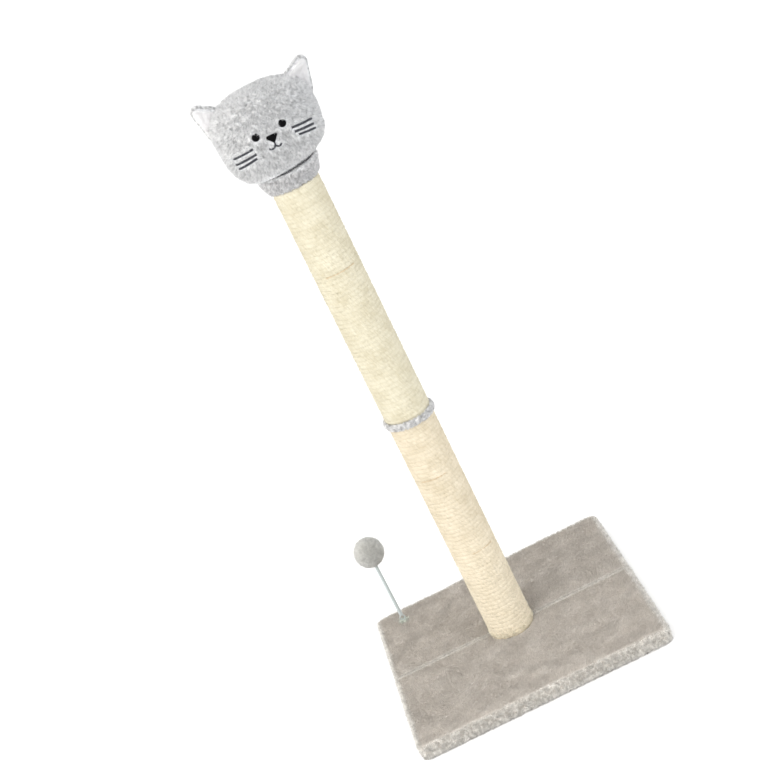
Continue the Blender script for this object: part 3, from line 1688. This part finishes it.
@dataclass(frozen=True)
class SkinSizes:
    """How the head's skin is lumped, sewn and drawn in under its fur, in metres."""

    soft: tuple[Lumps, ...] = (
        Lumps(26 * MM, 1.1 * MM, 1.0), Lumps(8 * MM, 0.7 * MM, 2.0), Lumps(4 * MM, 0.5 * MM, 2.5),
    )
    smooth_face: Span = (1 * MM, 10 * MM)
    bare_face: Span = (0.2 * MM, 3.2 * MM)
    inset: float = 3.6 * MM
    crown_inset: float = 1.6 * MM
    crown: Span = (20 * MM, 42 * MM)
    chin: Span = (-0.5 * MM, 7 * MM)
    seam: float = 1.3 * MM
    seam_place: float = 4 * MM
    seam_width: float = 1.8 * MM
    seam_start: Span = (8 * MM, 20 * MM)
    chin_narrowing: Span = (0.02, 0.04)
    narrow: Span = (-1 * MM, 8 * MM)
    across: Span = (-25 * MM, 25 * MM)


@dataclass(frozen=True)
class FaceSizes:
    """The eyes', the nose's and the stitches' sizes in metres. Rises and corners are in millimetres."""

    eye_lift: float = 1.4 * MM
    eye_scale: float = 1.1
    eye_seat: float = 3.2 * MM
    eye_rise: float = 3.3
    eye_rim: tuple[Span, ...] = ((1.0, -1.6), (1.0, -0.2))
    nose_lift: float = 1.1 * MM
    nose_corners: tuple[Span, ...] = ((0.0, -6.5), (9.8, 4.7), (-9.8, 4.7))
    nose_rounding: float = 2.3
    nose_thickness: float = 4.6 * MM
    nose_seat: float = 2.4 * MM
    eye_clear: float = 4.6 * MM
    nose_clear: float = 5.6 * MM
    thread_pitch: float = 0.4 * MM
    thread_rise: float = 1.1 * MM
    thread_radius: float = 0.27 * MM
    thread_sunk: float = 0.5 * MM


@dataclass(frozen=True)
class NeckSizes:
    """The neck's flare, its droop under the chin and the fold over it, in metres."""

    columns: int = 160
    rings: int = 26
    flare: float = 8 * MM
    flare_level: float = 4 * MM
    depth_share: float = 74 / 84
    narrowed: float = 4.5 * MM
    soft: tuple[Lumps, ...] = (Lumps(14 * MM, 0.8 * MM, 6.0), Lumps(6 * MM, 0.4 * MM, 7.0))
    under_fur: float = 2.0 * MM
    droop: float = 1.5 * MM
    right_droop: float = 3.0 * MM
    right: Span = (-30 * MM, 15 * MM)
    left_inset: float = 1.4 * MM
    left: Span = (10 * MM, 35 * MM)
    thin_at_top: float = 0.45
    fold_inset: float = 5.2 * MM
    fold: tuple[Span, ...] = ((2.5, -7.0), (0.0, -7.0), (0.0, 2.4), (2.5, 2.4))


@dataclass(frozen=True)
class EarPiece:
    """One stuffed piece of an ear, with the margins of its outline and its rounding in millimetres."""

    piece: str
    pile: str
    node: str
    slot: Slot
    finish: Finish
    margins: Triple
    rounding: float
    soft: Lumps
    coat: Coat


EAR_BACK = EarPiece(
    "ear_back", "ear_pile", "ear", Slot.HEAD_PLUSH, HEAD_SKIN, (0.9, 0.9, 0.9), 7.2,
    Lumps(8 * MM, 0.4 * MM, 5.1),
    Coat(14000, 2.3 * MM, 0.28 * MM, HEAD_FIBRES, brush=(0.2, 0.0, 0.2), clump=4 * MM,
         clump_strength=1.6, seed=51),
)
EAR_LINING = EarPiece(
    "ear_front", "ear_lining_pile", "ear_lining", Slot.EAR_LINING, LINING_SKIN, (0.0, 2.2, 5.4), 4.2,
    Lumps(8 * MM, 0.1 * MM, 5.2),
    Coat(4500, 1.8 * MM, 0.28 * MM, LINING_FIBRES, brush=(0.3, 0.0, 0.4), clump=6 * MM,
         clump_strength=2.0, seed=52),
)


@dataclass(frozen=True)
class EarSizes:
    """The ears' sizes in metres, with the outline in millimetres: corners, right tip's shift and spacing."""

    corners: tuple[Span, ...] = ((34.0, 31.0), (65.0, -11.0), (79.0, 57.0))
    right_tip: float = 2.5
    spacing: float = 1.1
    under_pile: float = 0.3 * MM
    lining_thickness: float = 4.0 * MM
    lining_middle: float = 1.6 * MM
    lined: float = 2.4 * MM
    at_head: float = 0.97
    bare: Span = (-2 * MM, 1 * MM)


@dataclass(frozen=True)
class Feature:
    """A line of the face in millimetres from the head's middle, and its band's width."""

    name: str
    path: tuple[Span, ...]
    width: float


FEATURES = (
    Feature("whisker_left_upper", ((-52.2, -19.8), (-26.7, -15.8)), 2.3),
    Feature("whisker_left_middle", ((-52.3, -27.5), (-25.6, -23.1)), 2.6),
    Feature("whisker_left_lower", ((-51.5, -33.8), (-27.1, -28.3)), 2.5),
    Feature("whisker_right_upper", ((25.5, -12.9), (51.1, -16.2)), 2.6),
    Feature("whisker_right_middle", ((26.7, -18.9), (50.6, -22.7)), 2.7),
    Feature("whisker_right_lower", ((29.7, -24.3), (50.7, -28.6)), 2.3),
    Feature("mouth_stem", ((-0.2, -18.0), (-0.7, -22.6)), 1.6),
    Feature("mouth_left", ((-0.7, -22.0), (-2.4, -24.4), (-5.0, -25.6), (-7.6, -25.0), (-9.2, -23.4)), 1.7),
    Feature("mouth_right", ((-0.7, -22.0), (0.6, -24.4), (2.8, -25.5), (5.2, -25.0), (6.7, -23.4)), 1.7),
)


class Head:
    """The cat's plush head with its ears and face, and the neck that it sits on."""

    def __init__(self, workshop: Workshop, form: HeadForm = HeadForm()) -> None:
        """Reads the head's box."""
        self.workshop = workshop
        self.form = form
        self.face = FaceSizes()
        self.neck_sizes = NeckSizes()
        low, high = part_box("head")
        self.widest = high.z - form.rise
        self.half_width = (high.x - low.x) / 2
        self.half_depth = (high.y - low.y) / 2
        self.chin_level = low.z

    def reach(self, x: float, level: float) -> float:
        """Returns how far the face stands in front of the head's middle at a point."""
        share = self.form.share(level)
        aside = min(abs(x) / (self.half_width * share), 1.0)
        fullness = self.form.plan_fullness
        return self.half_depth * share * (1 - aside**fullness) ** (1 / fullness)

    def on_face(self, x: float, level: float) -> Array:
        """Returns the point of the face at x and a level from the widest, seen from the front."""
        return np.array([x, -self.reach(x, level), self.widest + level])

    def outward(self, x: float, level: float, step: float = 0.5 * MM) -> Array:
        """Returns the face's normal at a point, from places a step away."""
        across = self.on_face(x + step, level) - self.on_face(x - step, level)
        up = self.on_face(x, level + step) - self.on_face(x, level - step)
        normal = np.cross(across, up)
        return normal / np.linalg.norm(normal)

    def face_distance(self, points: Array) -> Array:
        """Measures how far points lie from the nearest feature of the face, seen from the front.

        Args:
            points: Places on the head.

        Returns:
            A distance for each, which is large at the back.
        """
        flat = points[:, [0, 2]] - np.array([0.0, self.widest])
        nearest = np.full(len(points), 1.0)
        for feature in FEATURES:
            path = np.array(feature.path) * MM
            for start, end in zip(path[:-1], path[1:]):
                along = end - start
                share = np.clip(((flat - start) @ along) / (along @ along), 0.0, 1.0)
                away = np.linalg.norm(flat - start - share[:, None] * along, axis=1)
                nearest = np.minimum(nearest, away - feature.width / 2 * MM)
        clear = self.face.eye_clear
        for node, radius in (("eye_left", clear), ("eye_right", clear), ("nose", self.face.nose_clear)):
            low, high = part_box(node)
            centre = np.array([(low.x + high.x) / 2, (low.z + high.z) / 2 - self.widest])
            nearest = np.minimum(nearest, np.linalg.norm(flat - centre, axis=1) - radius)
        return np.where(points[:, 1] < 0, nearest, 1.0)

    def skin(self, sizes: SkinSizes = SkinSizes()) -> Object:
        """Makes the head's skin, lumpy and sewn along a seam over its crown.

        Args:
            sizes: The lumps, the seam and the insets.

        Returns:
            The skin, with its fur attribute.
        """
        angles = polar(self.form.columns)
        power = 2 / self.form.plan_fullness
        rings = []
        for level, share in self.form.levels():
            x = self.half_width * share * signed_power(np.cos(angles), power)
            y = self.half_depth * share * signed_power(np.sin(angles), power)
            rings.append(level_ring(x, y, self.widest + level))
        skin = loft("head_skin", np.array(rings), HEAD_SKIN)
        points = positions(skin)
        over_all, to_right = sizes.chin_narrowing
        narrowing = over_all + to_right * smooth_step(points[:, 0], *sizes.across)
        near_chin = 1 - smooth_step(points[:, 2] - self.chin_level, *sizes.narrow)
        points[:, :2] *= (1 - narrowing * near_chin)[:, None]
        points = self.form.lifted(points, self.chin_level)
        move(skin, points)
        distance = self.face_distance(points)
        clear = smooth_step(distance, *sizes.smooth_face)
        from_chin = points[:, 2] - self.chin_level
        seam = sizes.seam * swelling(points[:, 1], sizes.seam_place, sizes.seam_width)
        seam *= smooth_step(from_chin, *sizes.seam_start)
        over_chin = smooth_step(from_chin, *sizes.chin)
        at_crown = smooth_step(points[:, 2] - self.widest, *sizes.crown)
        inset = (sizes.inset + sizes.crown_inset * at_crown) * (0.2 + 0.8 * clear)
        soft = sum(layer.over(points) for layer in sizes.soft) * (0.15 + 0.85 * clear)
        swell(skin, (soft - inset) * over_chin - seam)
        mark(skin, "fur", smooth_step(distance, *sizes.bare_face) * (0.05 + 0.95 * over_chin))
        return skin

    def coats(self, skin: Object) -> None:
        """Grows the head's fur in a front and a back piece, which meet at the seam.

        Args:
            skin: The head's skin, with its fur attribute.
        """
        fur = marked(skin, "fur")
        depth = positions(skin)[:, 1]
        for name, sign in (("front", -1), ("back", 1)):
            mark(skin, "fur", fur * np.clip(0.5 + sign * (depth - 4 * MM) / (1.2 * MM), 0.0, 1.0))
            coat = replace(HEAD_COAT, seed=HEAD_COAT.seed + sign)
            self.workshop.grow(f"head_fur_{name}", skin, coat, Slot.HEAD_PLUSH)

    def ear(self, side: str, sign: float, sizes: EarSizes = EarSizes()) -> None:
        """Makes one ear: a soft grey back and rim, and a white lining.

        Args:
            side: The ear's name.
            sign: -1 for the left ear and 1 for the right one.
            sizes: The ear's sizes.
        """
        low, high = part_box(f"ear_{side}")
        middle = (low.y + high.y) / 2
        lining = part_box(f"ear_lining_{side}")[0].y + sizes.lining_middle
        (x, z), *others = reversed(sizes.corners)
        corners = [*reversed(others), (x + sizes.right_tip * max(sign, 0.0), z)]
        made = []
        layers = ((EAR_BACK, high.y - low.y, middle), (EAR_LINING, sizes.lining_thickness, lining))
        for kind, thickness, plane in layers:
            flat = rounded_outline(drawn_in(corners, kind.margins), kind.rounding, sizes.spacing) * MM
            flat = (flat * np.array([sign, 1.0]) + np.array([0.0, self.widest]))[:: int(sign)]
            made.append(pillow(f"{kind.piece}_{side}", flat, thickness, plane, kind.finish))
        for piece, (kind, _, _) in zip(made, layers):
            swell(piece, kind.soft.over(positions(piece)) - sizes.under_pile)
            points = positions(piece)
            levels = points[:, 2] - self.widest
            shares = np.array([self.form.share(min(level, self.form.rise)) for level in levels])
            edge = np.abs(points[:, 0]) - self.half_width * shares * sizes.at_head
            outside = np.where(levels > self.form.rise, 1.0, smooth_step(edge, *sizes.bare))
            hidden = points[:, 1] < middle - sizes.lined if kind is EAR_BACK else points[:, 1] > lining
            mark(piece, "fur", np.where(hidden, 0.0, outside))
            aside, *others = kind.coat.brush
            coat = replace(kind.coat, brush=(aside * sign, *others))
            self.workshop.grow(f"{kind.pile}_{side}", piece, coat, kind.slot)
            self.workshop.place(piece, kind.slot, stands_for=[f"{kind.node}_{side}"])

    def eye(self, side: str) -> None:
        """Makes one domed eye over its shank.

        Args:
            side: The eye's name.
        """
        low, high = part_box(f"eye_{side}")
        face = self.face
        x, z = (low.x + high.x) / 2, (low.z + high.z) / 2 + face.eye_lift
        radius = (high.x - low.x) / 2 * face.eye_scale
        angles = polar(40)
        turns = np.linspace(0.1, math.pi / 2, 9, endpoint=False)
        dome = [*face.eye_rim, *((math.cos(turn), face.eye_rise * math.sin(turn)) for turn in turns)]
        rings = []
        for share, rise in dome:
            y = np.full(len(angles), low.y + face.eye_seat - rise * MM)
            across, up = radius * share * np.cos(angles), radius * share * np.sin(angles)
            rings.append(np.stack([x + across, y, z + up], axis=1))
        eye = loft(f"eye_dome_{side}", np.array(rings), BLACK_GLOSS)
        self.workshop.place(eye, Slot.BLACK_PLASTIC, stands_for=[f"eye_{side}"])

    def nose(self) -> None:
        """Makes the nose: a rounded triangle, pillowed and glossy."""
        low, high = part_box("nose")
        face = self.face
        middle = np.array([(low.x + high.x) / 2, (low.z + high.z) / 2 + face.nose_lift])
        outline = rounded_outline(face.nose_corners, face.nose_rounding, 0.5) * MM + middle
        nose = pillow("nose_pad", outline, face.nose_thickness, low.y + face.nose_seat, BLACK_GLOSS)
        self.workshop.place(nose, Slot.BLACK_PLASTIC, stands_for=["nose"])

    def stitch(self, feature: Feature) -> None:
        """Sews one line of the face as a band of threads laid side by side.

        Args:
            feature: The line.
        """
        face = self.face
        flat = spaced(np.array(feature.path) * MM, face.thread_pitch, closed=False)
        outward = np.array([self.outward(x, z) for x, z in flat])
        points = np.array([self.on_face(x, z) for x, z in flat]) - outward * face.thread_sunk
        along = np.gradient(points, axis=0)
        along /= np.linalg.norm(along, axis=1)[:, None]
        mesh = bpy.data.meshes.new("line")
        mesh.from_pydata(points.tolist(), [], [])
        for name, values in (("along", along), ("outward", outward)):
            mesh.attributes.new(name, "FLOAT_VECTOR", "POINT").data.foreach_set("vector", values.ravel())
        host = link(bpy.data.objects.new("line", mesh))
        inputs = {
            "Width": feature.width * MM,
            "Height": face.thread_rise,
            "Thread": face.thread_radius,
            "Material": THREAD.material(),
        }
        band = self.workshop.stitches.bake(feature.name, host, inputs)
        bpy.data.objects.remove(host)
        self.workshop.place(band, Slot.BLACK_PLASTIC)

    def neck(self) -> None:
        """Makes the plush neck, flared from the rope to the head's underside."""
        low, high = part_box("neck")
        sizes = self.neck_sizes
        bottom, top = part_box("upper_rope")[1].x * 2, (high.x - low.x)
        height = high.z - low.z
        angles = polar(sizes.columns)
        rings = []
        for share in np.linspace(0, 1, sizes.rings):
            bend = 2 * share * (1 - share)
            width = (1 - share) ** 2 * bottom + bend * (bottom + sizes.flare) + share**2 * top
            level = bend * sizes.flare_level + share**2 * height
            width -= sizes.narrowed * smooth_step(np.array([level]), height - 4 * MM, height)[0]
            depth = width * (1 + (sizes.depth_share - 1) * level / height)
            rings.append(level_ring(width / 2 * np.cos(angles), depth / 2 * np.sin(angles), low.z + level))
        neck = loft("neck_skin", np.array(rings), HEAD_SKIN)
        points = positions(neck)
        from_top = high.z - points[:, 2]
        inner = np.hypot(points[:, 0], points[:, 1]) < bottom / 2 - 1 * MM
        soft = sum(layer.over(points) for layer in sizes.soft) - sizes.under_fur
        swell(neck, np.where(inner, 0.0, soft * smooth_step(from_top, 0.5 * MM, 4 * MM)))
        moved = self.form.lifted(positions(neck), high.z)
        at_top = 1 - smooth_step(from_top, 1 * MM, 12 * MM)
        moved[:, 2] -= (sizes.droop + sizes.right_droop * smooth_step(moved[:, 0], *sizes.right)) * at_top
        moved[:, 0] += sizes.left_inset * at_top * smooth_step(-points[:, 0], *sizes.left)
        move(neck, moved)
        thick = sizes.thin_at_top + (1 - sizes.thin_at_top) * smooth_step(from_top, 0.5 * MM, 4 * MM)
        mark(neck, "fur", np.where(inner, 0.0, thick))
        self.workshop.grow("neck_fur", neck, NECK_COAT, Slot.HEAD_PLUSH)
        self.workshop.place(neck, Slot.HEAD_PLUSH, stands_for=["neck"])

    def crease(self) -> None:
        """Makes the dark band in the fold between the neck and the head."""
        low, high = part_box("neck")
        sizes = self.neck_sizes
        angles = polar(sizes.columns)
        rings = []
        for inset, rise in sizes.fold:
            half = (high.x - low.x) / 2 - sizes.fold_inset - inset * MM
            x, y = half * np.cos(angles), half * sizes.depth_share * np.sin(angles)
            rings.append(level_ring(x, y, high.z + rise * MM))
        band = loft("neck_crease", np.array(rings), CREASE)
        move(band, self.form.lifted(positions(band), high.z))
        self.workshop.place(band, Slot.HEAD_PLUSH)

    def build(self) -> None:
        """Builds the neck, the head, both ears and the face."""
        self.neck()
        self.crease()
        skin = self.skin()
        self.coats(skin)
        self.workshop.place(skin, Slot.HEAD_PLUSH, stands_for=["head"])
        for side, sign in (("left", -1.0), ("right", 1.0)):
            self.ear(side, sign)
            self.eye(side)
        self.nose()
        for feature in FEATURES:
            self.stitch(feature)


# ---------- Toy ----------
WIRE = Finish("spring_steel", (206, 213, 213), 0.42, metallic=0.7)
RUFFLED_FIBRES = tones("ruffled_fibre", (206, 211, 201), 38)
POMPOM_SKIN = Finish("pompom_core", (190, 190, 186), 0.95)
POMPOM_FIBRES = tones("pompom_fibre", (226, 226, 222), 24)


TUFT_COAT = Coat(900, 4.6 * MM, 0.42 * MM, RUFFLED_FIBRES, brush=(0.0, -0.3, 0.0), clump=3 * MM,
                 clump_strength=5.0, jitter=0.8, patch=3 * MM, seed=81)
PILE_COAT = Coat(32000, 5.6 * MM, 0.28 * MM, POMPOM_FIBRES, brush=(0.0, 0.0, -0.1), clump=4 * MM,
                 clump_strength=2.0, jitter=0.5, patch=2.6 * MM, seed=71)
LOOSE_COAT = replace(PILE_COAT, count=2600, length=7.6 * MM, radius=0.2 * MM, patch=3 * MM, seed=73)


@dataclass(frozen=True)
class ToySizes:
    """The toy's sizes that the model's boxes don't give, in metres."""

    spring_radius: float = 2.2 * MM
    wire: float = 1.1 * MM
    pitch: float = 1.28 * MM
    spring_middle: float = 82.5 * MM
    bend_reach: float = 20.5 * MM
    core_radius: float = 17 * MM
    core: Lumps = Lumps(14 * MM, 1.0 * MM, 8.0)
    tuft_radius: float = 6.5 * MM
    tuft_crown: float = 4.5 * MM
    tuft_sunk: float = 2.0 * MM
    tuft_edge: float = 0.6 * MM


class Toy:
    """The pompom and the spring that it sways on."""

    def __init__(self, workshop: Workshop, sizes: ToySizes = ToySizes()) -> None:
        """Reads the spring's ends and the place of its foot."""
        self.workshop = workshop
        self.sizes = sizes
        low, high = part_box("toy_spring")
        self.bottom, self.top = low.z, high.z
        anchor_low, anchor_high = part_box("toy_anchor")
        self.x = (anchor_low.x + anchor_high.x) / 2
        self.y = (anchor_low.y + anchor_high.y) / 2

    def coil(
        self, name: str, ends: Span, bodies: tuple[Body, Body], bend: Span
    ) -> None:
        """Winds one half of the spring, which bends between two bodies.

        Args:
            name: The piece's name.
            ends: The levels that it lies between.
            bodies: The bodies that its lower and its upper end follow.
            bend: The levels that the bend lies between.
        """
        sizes = self.sizes
        bottom, top = ends
        turns = round((top - bottom) / sizes.pitch)
        winding = Winding(float(turns), sizes.spring_radius, (top - bottom) / turns, sizes.wire / 2, WIRE)
        coil = self.workshop.wind(name, winding)
        move(coil, positions(coil) + np.array([self.x, self.y, bottom]))
        start, end = (Vector((self.x, self.y, level)) for level in bend)
        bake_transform(coil)
        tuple(start)
        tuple(end)
        self.workshop.describe(coil, Slot.SPRING_WIRE, ["toy_spring"])

    def tuft(self) -> None:
        """Makes the pale, ruffled patch of nap round the spring's foot."""
        sizes = self.sizes
        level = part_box("toy_anchor")[0].z
        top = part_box("base_plush_back")[1].z - sizes.tuft_sunk
        angles = polar(32)
        wide = sizes.tuft_radius
        rings = [
            level_ring(self.x + radius * np.cos(angles), self.y + radius * np.sin(angles), height)
            for radius, height in ((wide, level), (wide, top - sizes.tuft_edge), (sizes.tuft_crown, top))
        ]
        mound = loft("ruffled_nap", np.array(rings), BASE_SKIN)
        mark(mound, "fur", np.where(positions(mound)[:, 2] > top - 1 * MM, 1.0, 0.0))
        self.workshop.grow("ruffled_tips", mound, TUFT_COAT, Slot.BASE_PLUSH)
        self.workshop.place(mound, Slot.BASE_PLUSH)

    def pompom(self) -> None:
        """Makes the pompom: a hidden core and a thick pile that stands out from it."""
        low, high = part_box("toy_ball")
        centre = np.array([self.x, self.y, high.z - (high.x - low.x) / 2])
        angles = polar(96)
        rings = [
            level_ring(math.sin(turn) * np.cos(angles), math.sin(turn) * np.sin(angles), -math.cos(turn))
            for turn in np.linspace(0, math.pi, 50)[1:-1]
        ]
        core = loft("pompom_core", np.array(rings) * self.sizes.core_radius + centre, POMPOM_SKIN)
        points = positions(core)
        swell(core, self.sizes.core.over(points))
        mark(core, "fur", np.ones(len(points)))
        self.workshop.grow("pompom_pile", core, PILE_COAT, Slot.POMPOM, Body.BALL)
        self.workshop.grow("pompom_strays", core, LOOSE_COAT, Slot.POMPOM, Body.BALL)
        self.workshop.place(core, Slot.POMPOM, Body.BALL, ["toy_ball"])

    def build(self) -> None:
        """Builds the spring's halves, the tuft at its foot and the pompom."""
        middle, reach = self.sizes.spring_middle, self.sizes.bend_reach
        lower_bend = (middle - 2 * reach, middle)
        upper_bend = (middle, middle + 2 * reach)
        self.coil("spring_lower", (self.bottom, middle), (Body.STAND, Body.SPRING), lower_bend)
        self.coil("spring_upper", (middle, self.top), (Body.SPRING, Body.BALL), upper_bend)
        self.tuft()
        self.pompom()


# ---------- Pieces that stay as the model has them ----------
BOARD = Mottled("particle_board", (164, 128, 88), second=(190, 154, 112), patch=0.012, grain=0.0016,
                roughness=0.8)
TUBE = Mottled("card_tube", (170, 140, 104), second=(190, 160, 124), patch=0.02, stretch=(1.0, 1.0, 0.2))
TIMBER = Mottled("plug_timber", (186, 150, 108), second=(208, 176, 134), patch=0.01, stretch=(1.0, 4.0, 1.0))
RUBBER = Mottled("foot_rubber", (42, 42, 43), second=(56, 56, 57), patch=0.01, roughness=0.85)
STEEL = Mottled("zinc_steel", (168, 172, 174), second=(190, 193, 195), patch=0.01, roughness=0.35,
                metallic=0.9, bump=0.05)
WHITE_PLASTIC = Finish("white_plastic", (222, 222, 220), 0.5)


def finish_of(node: str) -> Finish | None:
    """Finds the finish of a node that stays in sight.

    Args:
        node: The node's name, which says what it is.

    Returns:
        The finish, or None for a node that a new piece stands for.
    """
    if node == "base_board":
        return BOARD
    if node.endswith("_tube"):
        return TUBE
    if node.endswith("_plug") and node != "ball_plug" or node == "neck_disc":
        return TIMBER
    if node.startswith("foot_"):
        return RUBBER
    if node.endswith(("_insert", "_bolt", "_stud")) or node == "base_washer":
        return STEEL
    if node in ("toy_anchor", "toy_spring"):
        return WIRE
    if node == "ball_plug" or node.startswith(("eye_washer", "nose_washer")):
        return WHITE_PLASTIC
    return None


def finish_nodes(nodes: dict[str, Object]) -> None:
    """Gives each node of the model that stays in sight its surface.

    Args:
        nodes: The model's nodes by name.
    """
    for name, node in nodes.items():
        finish = finish_of(name)
        if finish is None or node.hide_render:
            continue
        for slot in node.material_slots:
            slot.material = finish.material()


# ---------- Studio ----------
@dataclass(frozen=True)
class Shot:
    """Where the camera stands and how it is turned, in metres and degrees."""

    place: Triple = (0.0068, -2.050, 1.220)
    down: float = 21.2
    left: float = 0.564
    roll: float = -26.305
    lens: float = 82.1
    sensor: float = 36.0
    clipped: Span = (0.05, 100.0)


@dataclass(frozen=True)
class Lamp:
    """An area light that looks at a point. Its power is in watts."""

    name: str
    place: Triple
    target: Triple
    size: float
    power: float
    colour: Colour = (255, 255, 255)


LAMPS = (
    Lamp("key", (-2.2, -2.0, 2.3), (0.0, 0.0, 0.45), 3.0, 62.0, (255, 250, 244)),
    Lamp("fill", (2.2, -1.8, 1.2), (0.0, 0.0, 0.4), 2.0, 10.0, (246, 250, 255)),
)
FLOOR = Finish("floor", (250, 250, 250), 0.9, specular=0.1)
AMBIENT = 1.27
FLOOR_REACH = 30.0


class Studio:
    """The camera, the lights and the floor."""

    def __init__(self, shot: Shot = Shot()) -> None:
        """Keeps where the camera stands."""
        self.shot = shot

    def camera(self) -> None:
        """Puts the camera in place and makes it the scene's own."""
        shot = self.shot
        data = bpy.data.cameras.new("camera")
        data.lens = shot.lens
        data.sensor_width = shot.sensor
        data.clip_start, data.clip_end = shot.clipped
        camera = link(bpy.data.objects.new("camera", data))
        turn = (
            Matrix.Rotation(math.radians(shot.left), 4, "Z")
            @ Matrix.Rotation(math.radians(90 - shot.down), 4, "X")
            @ Matrix.Rotation(math.radians(shot.roll), 4, "Z")
        )
        camera.matrix_world = Matrix.Translation(shot.place) @ turn
        bpy.context.scene.camera = camera

    def lamp(self, lamp: Lamp) -> None:
        """Adds one light.

        Args:
            lamp: The light.
        """
        data = bpy.data.lights.new(lamp.name, "AREA")
        data.energy = lamp.power
        data.size = lamp.size
        data.color = linear(lamp.colour)[:3]
        light = link(bpy.data.objects.new(lamp.name, data))
        light.location = lamp.place
        light.rotation_mode = "QUATERNION"
        light.rotation_quaternion = (Vector(lamp.target) - Vector(lamp.place)).to_track_quat("-Z", "Y")

    def build(self) -> None:
        """Sets up the whole studio."""
        self.camera()
        for lamp in LAMPS:
            self.lamp(lamp)
        world = bpy.data.worlds.new("studio")
        world.use_nodes = True
        background = world.node_tree.nodes["Background"]
        background.inputs["Color"].default_value = (1.0, 1.0, 1.0, 1.0)
        background.inputs["Strength"].default_value = AMBIENT
        bpy.context.scene.world = world
        square = np.array([[-1.0, -1.0, 0.0], [1.0, -1.0, 0.0], [1.0, 1.0, 0.0], [-1.0, 1.0, 0.0]])
        mesh_object("floor", square * FLOOR_REACH, [(0, 1, 2, 3)], FLOOR)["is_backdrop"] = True


def corners() -> list[list[float]]:
    """Returns the shown object's lowest and highest corner."""
    return [list(corner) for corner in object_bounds()]


def main() -> None:
    """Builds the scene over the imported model."""
    logging.basicConfig(level=logging.INFO, format="%(name)s: %(message)s")
    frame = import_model()
    scene = bpy.context.scene
    scene.view_settings.view_transform = "Standard"
    Studio().build()
    workshop = Workshop()
    Base(workshop).build()
    Post(workshop).build()
    Head(workshop).build()
    Toy(workshop).build()
    finish_nodes(frame["nodes"])


if __name__ == "__main__":
    main()
